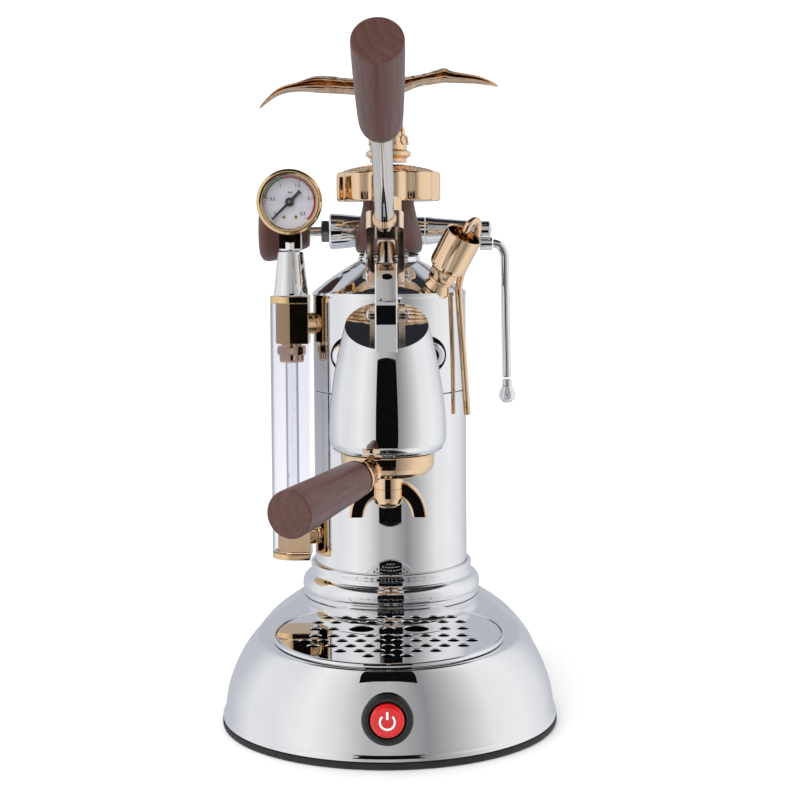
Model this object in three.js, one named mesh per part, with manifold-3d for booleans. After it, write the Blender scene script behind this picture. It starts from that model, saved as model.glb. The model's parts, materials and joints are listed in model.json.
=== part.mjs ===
// A lever espresso machine, in millimetres, +Z up.
// Origin: the middle of the boiler's axis on the underside of the base plate. The user stands at -Y.
import * as THREE from "three";
import { mergeVertices } from "three/addons/utils/BufferGeometryUtils.js";
import Module from "manifold-3d";

const wasm = await Module();
wasm.setup();

// ---- Driving dimensions ---------------------------------------------------------------------

const GAP = 0.3; // clearance between touching pieces
const DEG = Math.PI / 180;
const FACETS = 0.45; // facets on a round piece, as a share of its nominal count
const FEWEST_FACETS = 8;
const DRAIN_SIDES = 6;

// Base: a half ellipse in front, a half circle about the boiler's axis behind.
const BASE_FRONT_Y = -98; // centre of the front half ellipse
const BASE_WIDTH = 99.4; // half width at the foot
const BASE_DEPTH = 91; // depth of the front half ellipse at the foot
const BASE_REAR = 97.4; // radius of the rear half circle at the foot
const RIM_TOP = 4; // rubber rim
const SHELF_Z = 54; // flat top of the base
const SHELL_WALL = 1.6;
const RIM_WIDTH = 5;
const PLATE_THICKNESS = 1.5;

// Drip tray: a round tray whose rear edge follows the boiler's collar.
const TRAY_Y = -115;
const TRAY_R = 65.4;
const TRAY_FLANGE_R = 68;
const TRAY_BOTTOM = 28;
const TRAY_REAR_R = 61.4; // arc about the boiler's axis
const GRILLE_R = 65.8;
const GRILLE_TOP = 56.6;
const GRILLE_THICKNESS = 1;
const DRAIN_PITCH = 10.7;
const DRAIN_R = 3.4;
const DRAIN_BIG_R = 7.4;

// Boiler
const BOILER_R = 50;
const BOILER_WALL = 1.6;
const BOILER_FOOT = 54.4;
const BOILER_SEAM = 188.5;
const BOILER_SHOULDER = 248;
const NECK_R = 20;
const NECK_TOP = 275.5;
const FILL_R = 15.3;
const COLLAR_R = 58;
const COLLAR_TOP = 76;

// Group
const GROUP_Y = -110;
const BELL_BOTTOM = 163;
const BORE_R = 21;
const BORE_TOP = 219;
const CAVITY_R = 26.3;
const CAVITY_TOP = 172.1;
const FACE_TILT = 27 * DEG; // slope of the slanted top face
const FACE_Z = 239; // its height on the group's axis
const LUG_WIDTH = 12.8;
const NECK_Z = 212;

// Lever and piston
const FULCRUM = new THREE.Vector3(0, -88, 265);
const LEVER_TILT = 26.5 * DEG;
const PIN_SPACING = 27;
const PIN_R = 2.5;
const FORK_HALF = 10.6; // half width across the arms
const FORK_SLOT = 6.8; // half width of the slot
const FORK_H = 5.2; // half thickness
const FORK_END_R = 6.3;
const FORK_SLOT_END = 62.7;
const FORK_LENGTH = 76.7;
const ROD_R = 5.4;
const LEVER_LENGTH = 254;
const HANDLE_START = 174.5;
const HANDLE_R = 12.4;
const PISTON_ROD_R = 5.3;
const PISTON_BOTTOM = 197;
const PISTON_TOP = 211;

// Portafilter
const HOLDER_ANGLE = -21.5 * DEG; // handle, turned to the left of straight ahead
const HOLDER_R = 27.5;
const HOLDER_BOTTOM = 149.2;
const HANDLE_DROP = 3 * DEG;
const SPOUT_X = 18.6;
const SPOUT_Z = 124.1;
const HORN_R = 5;

// Sight glass and gauge column
const SIGHT_X = -63.3;
const SIGHT_Y = -15;
const SIGHT_BACK = 11.6; // how far the blocks and the shield run towards the boiler from the tube
const BLOCK_R = 10.2;
const FLANGE_R = 13.7;
const SHIELD_WALL = 1.4;
const SHIELD_BOTTOM = 84.5;
const SHIELD_TOP = 246;
const GAUGE_Z = 311.2;
const GAUGE_R = 21.1;

// Steam valve and wand, behind the cap
const VALVE_Y = 36;
const VALVE_Z = 292;
const WAND_X = 78.2;
const WAND_Z = 283;
const WAND_R = 2.9;
const WAND_BOTTOM = 186;

// Relief valve on the right of the boiler's shoulder
const RELIEF_FOOT = new THREE.Vector3(32.3, -33, 259.6);
const RELIEF_AZIMUTH = -40 * DEG;
const RELIEF_LEAN = 34 * DEG;
const CUP_R = 12;

// Power button
const BUTTON_Z = 28;
const BUTTON_R = 9.5;
const BEZEL_R = 14.2;

// ---- Finishes -------------------------------------------------------------------------------

function finish(color, roughness, metalness) {
  return new THREE.MeshStandardMaterial({ color, roughness, metalness });
}

const CHROME = finish(0xd8dadd, 0.06, 1);
const GOLD = finish(0xd9a878, 0.12, 1);
const WOOD = finish(0x5a3129, 0.45, 0);
const BLACK = finish(0x141414, 0.5, 0);
const RUBBER = finish(0x1b1b1c, 0.8, 0);
const STEEL = finish(0x9a9c9f, 0.35, 1);
const BRASS = finish(0xb08a4a, 0.3, 1);
const RED = finish(0xb3121a, 0.2, 0);
const WHITE = finish(0xf4f3ef, 0.5, 0);
const CLEAR = new THREE.MeshStandardMaterial({
  color: 0xf3f7f7,
  roughness: 0.05,
  metalness: 0,
  transparent: true,
  opacity: 0.3,
});

// ---- Geometry helpers -----------------------------------------------------------------------

// Merges shared corners, drops slivers of no area, and turns the faces outwards.
function closed(geometry) {
  const bare = geometry.clone();
  bare.deleteAttribute("normal");
  bare.deleteAttribute("uv");
  const merged = mergeVertices(bare, 1e-3);
  const p = merged.attributes.position;
  const kept = [];
  let volume = 0;
  const [a, b, c] = [new THREE.Vector3(), new THREE.Vector3(), new THREE.Vector3()];
  for (let i = 0; i < merged.index.count; i += 3) {
    const t = [0, 1, 2].map((k) => merged.index.getX(i + k));
    if (t[0] === t[1] || t[1] === t[2] || t[2] === t[0]) continue;
    kept.push(t);
    a.fromBufferAttribute(p, t[0]);
    b.fromBufferAttribute(p, t[1]);
    c.fromBufferAttribute(p, t[2]);
    volume += a.dot(b.cross(c)) / 6;
  }
  if (volume < 0) kept.forEach((t) => t.reverse());
  const out = new THREE.BufferGeometry();
  out.setAttribute("position", p);
  out.setIndex(kept.flat());
  return out;
}

function solid(geometry) {
  const g = closed(geometry);
  const mesh = new wasm.Mesh({
    numProp: 3,
    vertProperties: new Float32Array(g.attributes.position.array),
    triVerts: new Uint32Array(g.index.array),
  });
  return new wasm.Manifold(mesh);
}

function geometryOf(manifold) {
  const mesh = manifold.getMesh();
  const out = new THREE.BufferGeometry();
  out.setAttribute("position", new THREE.BufferAttribute(new Float32Array(mesh.vertProperties), 3));
  out.setIndex(Array.from(mesh.triVerts));
  return out;
}

// The first geometry with the `joined` ones added, then the `cut` ones taken away.
function carve(first, joined, cut) {
  let body = solid(first);
  for (const g of joined) body = body.add(solid(g));
  for (const g of cut) body = body.subtract(solid(g));
  return geometryOf(body);
}

// A body of revolution about Z from [radius, height] pairs.
function lathe(profile, segments = 32) {
  const facets = Math.max(FEWEST_FACETS, 2 * Math.round((FACETS * segments) / 2));
  return turned(profile, facets);
}

function turned(profile, facets) {
  const points = profile.map(([r, z]) => new THREE.Vector2(r, z));
  return new THREE.LatheGeometry(points, facets).rotateX(Math.PI / 2);
}

function ring(inner, outer, low, high, segments = 32) {
  return lathe([[inner, low], [outer, low], [outer, high], [inner, high], [inner, low]], segments);
}

function disc(radius, low, high, segments = 32) {
  return lathe([[0, low], [radius, low], [radius, high], [0, high]], segments);
}

// A six-sided prism with its flats facing along X.
function hexagon(acrossFlats, low, high) {
  const corner = acrossFlats / Math.sqrt(3);
  return turned([[0, low], [corner, low], [corner, high], [0, high]], 6);
}

const alongX = (geometry) => geometry.rotateY(Math.PI / 2); // Z becomes X
const alongY = (geometry) => geometry.rotateX(-Math.PI / 2); // Z becomes Y

function box(low, high) {
  const size = high.map((v, i) => v - low[i]);
  const centre = high.map((v, i) => (v + low[i]) / 2);
  return new THREE.BoxGeometry(...size).translate(...centre);
}

// A round bar along a smooth curve through the given points.
function bar(points, radius, steps, sides = 8) {
  const section = new THREE.Shape();
  for (let i = 0; i < sides; i += 1) {
    const a = (2 * Math.PI * i) / sides;
    const [x, y] = [radius * Math.cos(a), radius * Math.sin(a)];
    if (i === 0) section.moveTo(x, y);
    else section.lineTo(x, y);
  }
  section.closePath();
  const extrudePath = new THREE.CatmullRomCurve3(points.map((p) => new THREE.Vector3(...p)));
  return new THREE.ExtrudeGeometry(section, { extrudePath, steps });
}

// An outline in the Y-Z plane as [y, z] pairs, extruded evenly to both sides of X = 0.
function slab(outline, width, segments = 6) {
  const shape = outline instanceof THREE.Shape ? outline : new THREE.Shape();
  if (!(outline instanceof THREE.Shape)) {
    outline.forEach(([y, z], i) => (i ? shape.lineTo(y, z) : shape.moveTo(y, z)));
    shape.closePath();
  }
  const flat = new THREE.ExtrudeGeometry(shape, { depth: width, bevelEnabled: false, curveSegments: segments });
  return flat.translate(0, 0, -width / 2).rotateY(Math.PI / 2).rotateX(Math.PI / 2);
}

// Skins a stack of outlines that have the same number of points, and closes both ends.
function loft(rings) {
  const n = rings[0].length;
  const positions = rings.flat().flatMap((v) => [v.x, v.y, v.z]);
  const index = [];
  for (let r = 0; r + 1 < rings.length; r += 1) {
    for (let i = 0; i < n; i += 1) {
      const j = (i + 1) % n;
      const [a, b, c, d] = [r * n + i, r * n + j, (r + 1) * n + j, (r + 1) * n + i];
      index.push(a, b, c, a, c, d);
    }
  }
  for (const [end, flip] of [[0, true], [rings.length - 1, false]]) {
    const middle = new THREE.Vector3();
    rings[end].forEach((v) => middle.addScaledVector(v, 1 / n));
    const m = positions.length / 3;
    positions.push(middle.x, middle.y, middle.z);
    for (let i = 0; i < n; i += 1) {
      const [a, b] = [end * n + i, end * n + ((i + 1) % n)];
      index.push(...(flip ? [b, a, m] : [a, b, m]));
    }
  }
  const out = new THREE.BufferGeometry();
  out.setAttribute("position", new THREE.Float32BufferAttribute(positions, 3));
  out.setIndex(index);
  return out;
}

const machine = new THREE.Group();

function add(name, geometry, material, parent = machine) {
  const mesh = new THREE.Mesh(closed(geometry), material);
  mesh.name = name;
  parent.add(mesh);
  return mesh;
}

// ---- Base -----------------------------------------------------------------------------------

// One level of the base: half width, front depth and rear radius, all drawn in by `inset`.
function baseOutline([z, width, depth, rear], inset = 0, half = 12) {
  const points = [];
  for (let i = 0; i <= half; i += 1) {
    const a = Math.PI + (Math.PI * i) / half;
    const y = BASE_FRONT_Y + (depth - inset) * Math.sin(a);
    points.push(new THREE.Vector3((width - inset) * Math.cos(a), y, z));
  }
  for (let i = 0; i <= half; i += 1) {
    const a = (Math.PI * i) / half;
    points.push(new THREE.Vector3((rear - inset) * Math.cos(a), (rear - inset) * Math.sin(a), z));
  }
  return points;
}

const BASE_LEVELS = [
  [RIM_TOP + GAP, BASE_WIDTH, BASE_DEPTH, BASE_REAR],
  [20, 96.5, 90.2, 93.6],
  [30, 93.5, 89.7, 87.6],
  [40, 89, 89, 79],
  [48, 83.8, 88.4, 69],
  [52.5, 80, 87.6, 61.5],
  [SHELF_Z, 77, 86.3, 59.5],
];

// The free area inside the tray's rim, between two heights, drawn out by `grow`.
function trayPlug(radius, rearRadius, low, high) {
  const round = disc(radius, low, high, 48).translate(0, TRAY_Y, 0);
  return carve(round, [], [disc(rearRadius, low - 1, high + 1, 48)]);
}

function makeBase() {
  const outer = loft(BASE_LEVELS.map((level) => baseOutline(level)));
  const inner = loft(
    BASE_LEVELS.map(([z, ...rest], i) => {
      const low = i === 0 ? z - 1 : z - (SHELL_WALL * i) / (BASE_LEVELS.length - 1);
      return baseOutline([low, ...rest], SHELL_WALL);
    }),
  );
  const trayHole = trayPlug(TRAY_R + 0.6, TRAY_REAR_R - 0.6, 45, 60);
  const boilerHole = disc(40, 45, 60);
  const buttonHole = alongY(disc(BEZEL_R - 1.3, -195, -175, 24)).translate(0, 0, BUTTON_Z);
  const inletHole = alongY(disc(7.3, 85, 105, 20)).translate(0, 0, 20);
  add("base_shell", carve(outer, [], [inner, trayHole, boilerHole, buttonHole, inletHole]), CHROME);

  const foot = [BASE_WIDTH + 0.4, BASE_DEPTH + 0.4, BASE_REAR + 0.4];
  const rimOuter = loft([baseOutline([0, ...foot], 0.8), baseOutline([1, ...foot]), baseOutline([RIM_TOP, ...foot])]);
  const rimInner = loft([baseOutline([-1, ...foot], RIM_WIDTH), baseOutline([RIM_TOP + 1, ...foot], RIM_WIDTH)]);
  add("base_rim", carve(rimOuter, [], [rimInner]), RUBBER);

  const inset = RIM_WIDTH + GAP;
  const plate = loft([baseOutline([0, ...foot], inset), baseOutline([PLATE_THICKNESS, ...foot], inset)]);
  add("base_plate", plate, STEEL);

  const inlet = [[3.4, 85], [6.8, 85], [6.8, 97.4], [9, 97.4], [9, 99.6], [6, 105], [3.4, 105], [3.4, 85]];
  add("cord_inlet", alongY(lathe(inlet, 20)).translate(0, 0, 20), BLACK);

  const bezel = [[10, -190.9], [BEZEL_R, -190.2], [BEZEL_R, -188.8], [BEZEL_R - 2, -188.4], [BEZEL_R - 2, -182],
    [10, -182], [10, -190.9]];
  add("button_bezel", alongY(lathe(bezel, 28)).translate(0, 0, BUTTON_Z), BLACK);
  const button = [[0, -184], [BUTTON_R, -184], [BUTTON_R, -191], [BUTTON_R - 0.8, -191.8], [0, -192.2]];
  add("power_button", alongY(lathe(button, 24)).translate(0, 0, BUTTON_Z), RED);
}

// ---- Drip tray and grille -------------------------------------------------------------------

const DRAIN_ROWS = [
  { y: -80.6, count: 8 },
  { y: -92.2, count: 9 },
  { y: -123.1, count: 9 },
  { y: -133.8, count: 10 },
  { y: -144.8, count: 9 },
  { y: -155.2, count: 6 },
  { y: -165.3, count: 3 },
];
const DRAIN_MIDDLE_Y = -107.6;

function drainHoles() {
  const holes = [];
  for (const { y, count } of DRAIN_ROWS) {
    for (let i = 0; i < count; i += 1) {
      holes.push([(i - (count - 1) / 2) * DRAIN_PITCH, y, DRAIN_R]);
    }
  }
  for (const side of [-1, 1]) {
    holes.push([side * 16.2, DRAIN_MIDDLE_Y, DRAIN_BIG_R]);
    holes.push([side * 33, DRAIN_MIDDLE_Y, DRAIN_R]);
    holes.push([side * 43.7, DRAIN_MIDDLE_Y, DRAIN_R]);
  }
  holes.push([0, DRAIN_MIDDLE_Y, DRAIN_R]);
  return holes;
}

function makeTray() {
  const flangeLow = SHELF_Z + GAP;
  const cup = trayPlug(TRAY_R, TRAY_REAR_R, TRAY_BOTTOM, flangeLow + 1);
  const flange = trayPlug(TRAY_FLANGE_R, COLLAR_R + 1.5, flangeLow, GRILLE_TOP + 0.3);
  const hollow = trayPlug(TRAY_R - 1.2, TRAY_REAR_R + 1.2, TRAY_BOTTOM + 1.2, 60);
  const seat = trayPlug(GRILLE_R + 0.5, TRAY_REAR_R - 0.1, GRILLE_TOP - GRILLE_THICKNESS - GAP, 60);
  add("drip_tray", carve(cup, [flange], [hollow, seat]), CHROME);

  const plate = trayPlug(GRILLE_R, TRAY_REAR_R + 0.4, GRILLE_TOP - GRILLE_THICKNESS, GRILLE_TOP);
  const cuts = drainHoles().map(([x, y, r]) => {
    const sides = r > DRAIN_R ? 2 * DRAIN_SIDES : DRAIN_SIDES;
    return turned([[0, 50], [r, 50], [r, 60], [0, 60]], sides).translate(x, y, 0);
  });
  add("drip_grille", carve(plate, [], cuts), CHROME);
}

// ---- Boiler ---------------------------------------------------------------------------------

const SHOULDER = [[BOILER_R, BOILER_SHOULDER], [49.8, 252.6], [44.5, 257.2], [38.4, 261.8], [30.4, 266.8], [22.4, 271.4]];

// The outside of the boiler grown by `grow`, for fitting the pieces screwed to it.
function boilerEnvelope(grow = GAP) {
  const side = [[0, 0], [BOILER_R + grow, 0]];
  const top = SHOULDER.map(([r, z]) => [r + grow, z + grow]);
  return lathe([...side, ...top, [0, NECK_TOP]], 64);
}

function makeBoiler() {
  const inside = BOILER_R - BOILER_WALL;
  const lower = [[27.3, BOILER_FOOT], [BOILER_R, BOILER_FOOT], [BOILER_R, BOILER_SEAM], [inside, BOILER_SEAM],
    [inside, BOILER_FOOT + 3], [27.3, BOILER_FOOT + 3], [27.3, BOILER_FOOT]];
  add("boiler_lower", lathe(lower, 64), CHROME);

  const shoulderInside = [...SHOULDER].reverse().map(([r, z]) => [r - BOILER_WALL, z - BOILER_WALL]);
  const upper = [[inside, BOILER_SEAM + GAP], [BOILER_R, BOILER_SEAM + GAP], ...SHOULDER, [NECK_R, 272.6],
    [NECK_R, NECK_TOP], [FILL_R, NECK_TOP], [FILL_R, 270.8], ...shoulderInside.slice(1), [inside, BOILER_SEAM + GAP]];
  const groupPort = alongY(disc(4, -60, -40, 12)).translate(0, 0, NECK_Z);
  add("boiler_upper", carve(lathe(upper, 64), [], [groupPort]), CHROME);

  const collar = [[BOILER_R + GAP, SHELF_Z + GAP], [COLLAR_R - 0.6, SHELF_Z + GAP], [COLLAR_R, 57], [COLLAR_R, 64],
    [57, 67.5], [54.6, 69.3], [52.6, 70], [52.4, COLLAR_TOP - 1], [51.6, COLLAR_TOP], [BOILER_R + GAP, COLLAR_TOP],
    [BOILER_R + GAP, SHELF_Z + GAP]];
  add("boiler_collar", lathe(collar, 64), CHROME);

  const loop = [[-14, 0, 52], [-14, 0, 95], [-11, 0, 108], [0, 0, 113.5], [11, 0, 108], [14, 0, 95], [14, 0, 52]];
  const flange = disc(26.6, 50.5, 54);
  const plug = disc(26.6, 54, BOILER_FOOT + 3, 32);
  add("heating_element", carve(bar(loop, 4.2, 16), [flange, plug], []), STEEL);

  const relay = box([-17, -14, 18], [17, 14, 44]);
  const stub = disc(5, 43, 50.2, 16);
  add("pressurestat", carve(relay, [stub], []), BLACK);

  add("dip_tube", bar([[0, -38, 64], [0, -38, 120], [0, -38, 196], [0, -40, 207], [0, -45.5, NECK_Z]], 3, 10), BRASS);
}

// ---- Filler cap -----------------------------------------------------------------------------

function scalloped(radius, depth, lobes, steps) {
  const shape = new THREE.Shape();
  for (let i = 0; i < steps; i += 1) {
    const a = (2 * Math.PI * i) / steps;
    const r = radius - depth * Math.abs(Math.sin((lobes * a) / 2)) ** 6;
    const [x, y] = [r * Math.cos(a), r * Math.sin(a)];
    if (i === 0) shape.moveTo(x, y);
    else shape.lineTo(x, y);
  }
  shape.closePath();
  return shape;
}

// The wings as [distance out from the body, lowest height, greatest height] from shoulder to tip.
const LEFT_WING = [[4, 380, 391], [24, 381.6, 391.6], [45, 382.6, 394], [58, 384.2, 389.8], [72, 382, 385.4],
  [84.5, 372.6, 374.2]];
const RIGHT_WING = [[4, 380, 391], [20, 386.8, 393], [31, 388.2, 396.2], [37, 389, 398.2], [42, 389, 395.8],
  [60, 388.4, 392.4], [72.4, 385.8, 387]];

// One wing: lens-shaped sections from the shoulder out to the tip, chord along Y.
function wing(side, outline) {
  const span = outline[outline.length - 1][0];
  const rings = outline.map(([out, low, high]) => {
    const u = out / span;
    const chord = 17 * (1 - u) ** 0.55 + 2.4;
    const section = [];
    for (let i = 0; i < 8; i += 1) {
      const a = (2 * Math.PI * i) / 8;
      const height = (low + high) / 2 + ((high - low) / 2) * Math.sin(a);
      section.push(new THREE.Vector3(side * out, chord * Math.cos(a) + 7 * u, height));
    }
    return section;
  });
  return loft(rings);
}

function makeCap() {
  const cap = new THREE.Group();
  add("cap_gasket", ring(15.4, 19.5, NECK_TOP + GAP, 277.3), RUBBER, cap);
  const plug = [[0, 262], [13.6, 262], [14.8, 263.5], [14.8, 277.2], [5, 277.3], [5, 320], [0, 320]];
  add("cap_plug", lathe(plug, 28), BRASS, cap);
  const bell = [[5.4, 277.6], [18.5, 277.6], [21.2, 279.4], [22, 283], [20.8, 290], [18.4, 299.4], [16.7, 308],
    [16.8, 311.2], [5.4, 311.2], [5.4, 277.6]];
  add("cap_wood", lathe(bell, 36), WOOD, cap);

  const edge = new THREE.ExtrudeGeometry(scalloped(34, 3.2, 8, 48), {
    depth: 15.9, bevelEnabled: true, bevelThickness: 1.6, bevelSize: 1.6, bevelOffset: -1.6, bevelSegments: 1,
  }).translate(0, 0, 313.1);
  const dome = lathe([[0, 325], [29, 325], [29, 330.4], [22, 333.4], [13, 335.6], [0, 336.4]], 36);
  add("cap_knob", carve(edge, [dome], [disc(5.4, 310, 320.4, 20)]), GOLD, cap);

  const dish = [[0, 336.8], [12.4, 336.8], [11.6, 339], [14.7, 341], [14.7, 343.5], [12.2, 345], [12, 351], [10, 357],
    [7, 362], [5.5, 368], [0, 370]];
  const bird = new THREE.SphereGeometry(1, 12, 8).scale(8.5, 15, 11).rotateX(-38 * DEG).translate(0, 2, 375);
  const head = new THREE.SphereGeometry(1, 10, 6).scale(5, 6.4, 5.2).translate(0, -11, 389);
  add("cap_finial", carve(lathe(dish, 28), [bird, head, wing(1, RIGHT_WING), wing(-1, LEFT_WING)], []), GOLD, cap);
  machine.add(cap);
}

// ---- Group, piston and lever ----------------------------------------------------------------

function makeGroup() {
  const bellProfile = [[0, BELL_BOTTOM], [27.6, BELL_BOTTOM], [30.2, 163.6], [32.6, 165.6], [34.1, 168.8], [34.5, 174],
    [34, 184], [32.8, 196], [30.7, 210], [28, 224], [24.5, 238], [20.6, 252], [0, 252]];
  const bell = lathe(bellProfile, 48).translate(0, GROUP_Y, 0);
  const above = box([-60, -60, 0], [60, 60, 60]).rotateX(FACE_TILT).translate(0, GROUP_Y, FACE_Z);
  const neck = alongY(disc(18, -100, -44, 28)).translate(0, 0, NECK_Z);
  const flange = alongY(disc(12, -56, -38, 24)).translate(0, 0, NECK_Z + 3);
  const flangeLeft = flange.clone().translate(-24, 0, 0);
  const flangeRight = flange.clone().translate(24, 0, 0);
  const flangeMiddle = box([-24, -56, NECK_Z - 9], [24, -38, NECK_Z + 15]);

  const ear = new THREE.Shape();
  ear.moveTo(-79.5, 226);
  ear.lineTo(-79.5, FULCRUM.z);
  ear.absarc(FULCRUM.y, FULCRUM.z, 8.5, 0, Math.PI, false);
  ear.lineTo(-96.5, 230);
  ear.closePath();
  const fin = new THREE.Shape();
  fin.moveTo(-121, 222);
  fin.lineTo(-121, 272.6);
  fin.quadraticCurveTo(-121.2, 274, -122.6, 274);
  fin.quadraticCurveTo(-124, 274, -124.6, 272.6);
  fin.lineTo(-132.6, 252.4);
  fin.quadraticCurveTo(-133.4, 249, -133.6, 246);
  fin.quadraticCurveTo(-134.6, 236, -138.5, 224.4);
  fin.lineTo(-134.5, 218);
  fin.closePath();

  const bolted = (x) => alongY(disc(3.3, -70, -30, 12)).translate(x, 0, NECK_Z + 3);
  const shaped = carve(bell, [], [above]);
  const joined = [neck, flangeLeft, flangeRight, flangeMiddle, slab(ear, LUG_WIDTH), slab(fin, LUG_WIDTH)];
  const cut = [
    boilerEnvelope(),
    disc(BORE_R, 160, BORE_TOP, 40).translate(0, GROUP_Y, 0),
    disc(CAVITY_R, 160, CAVITY_TOP, 40).translate(0, GROUP_Y, 0),
    disc(PISTON_ROD_R + 0.4, 215, 262, 20).translate(0, FULCRUM.y - PIN_SPACING * Math.cos(LEVER_TILT), 0),
    alongX(disc(PIN_R + 0.35, -20, 20, 16)).translate(0, FULCRUM.y, FULCRUM.z),
    alongY(disc(4, -92, -40, 12)).translate(0, 0, NECK_Z),
    bolted(-27),
    bolted(27),
  ];
  add("group_body", carve(shaped, joined, cut), CHROME);

  for (const [name, x] of [["group_bolt_left", -27], ["group_bolt_right", 27]]) {
    const bolt = [[0, -61.5], [5, -61.3], [7.4, -60], [8, -58.4], [8, -56.3], [3, -56.3], [3, -50], [0, -50]];
    const shank = alongY(lathe(bolt, 24)).translate(x, 0, NECK_Z + 3);
    add(name, shank, CHROME);
  }
  add("group_gasket", ring(21.4, 25.6, 169.3, 171.8, 36).translate(0, GROUP_Y, 0), RUBBER);
  add("shower_screen", disc(20.6, 170, 171.4, 36).translate(0, GROUP_Y, 0), STEEL);
}

const PISTON_Y = FULCRUM.y - PIN_SPACING * Math.cos(LEVER_TILT);
const PISTON_PIN_Z = FULCRUM.z + PIN_SPACING * Math.sin(LEVER_TILT);

function stadium(halfLength, radius, centreY, centreZ, halfHeight) {
  const shape = new THREE.Shape();
  const straight = halfLength - radius;
  const lift = halfHeight - radius;
  shape.absarc(centreY + straight, centreZ + lift, radius, 0, Math.PI / 2, false);
  shape.absarc(centreY - straight, centreZ + lift, radius, Math.PI / 2, Math.PI, false);
  shape.absarc(centreY - straight, centreZ - lift, radius, Math.PI, 1.5 * Math.PI, false);
  shape.absarc(centreY + straight, centreZ - lift, radius, 1.5 * Math.PI, 2 * Math.PI, false);
  shape.closePath();
  return shape;
}

function makePiston() {
  // The pin slides along this slot as the fork swings: it is the pivot opened to make a tree of joints.
  const slot = slab(stadium(6.25, 3.3, PISTON_Y + 0.55, PISTON_PIN_Z - 0.5, 3.35), 30);
  const headPlan = new THREE.Shape();
  headPlan.absarc(0, 3.35, PISTON_ROD_R, 0, Math.PI, false);
  headPlan.absarc(0, -3.35, PISTON_ROD_R, Math.PI, 2 * Math.PI, false);
  headPlan.closePath();
  const head = new THREE.ExtrudeGeometry(headPlan, { depth: 20, bevelEnabled: false, curveSegments: 6 });
  head.translate(0, PISTON_Y + 0.55, PISTON_PIN_Z - 9.6);
  const stem = disc(PISTON_ROD_R, PISTON_TOP + GAP, PISTON_PIN_Z - 5, 20).translate(0, PISTON_Y, 0);
  add("piston_rod", carve(stem, [head], [slot]), STEEL);

  const piston = [[0, PISTON_BOTTOM], [19.4, PISTON_BOTTOM], [20.3, 198], [20.3, 202], [17.4, 202], [17.4, 206],
    [20.3, 206], [20.3, 210], [19.4, PISTON_TOP], [0, PISTON_TOP]];
  add("piston_head", lathe(piston, 36).translate(0, GROUP_Y, 0), BRASS);
  add("piston_seal", ring(17.7, 20.6, 202.3, 205.7, 36).translate(0, GROUP_Y, 0), RUBBER);
}

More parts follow.
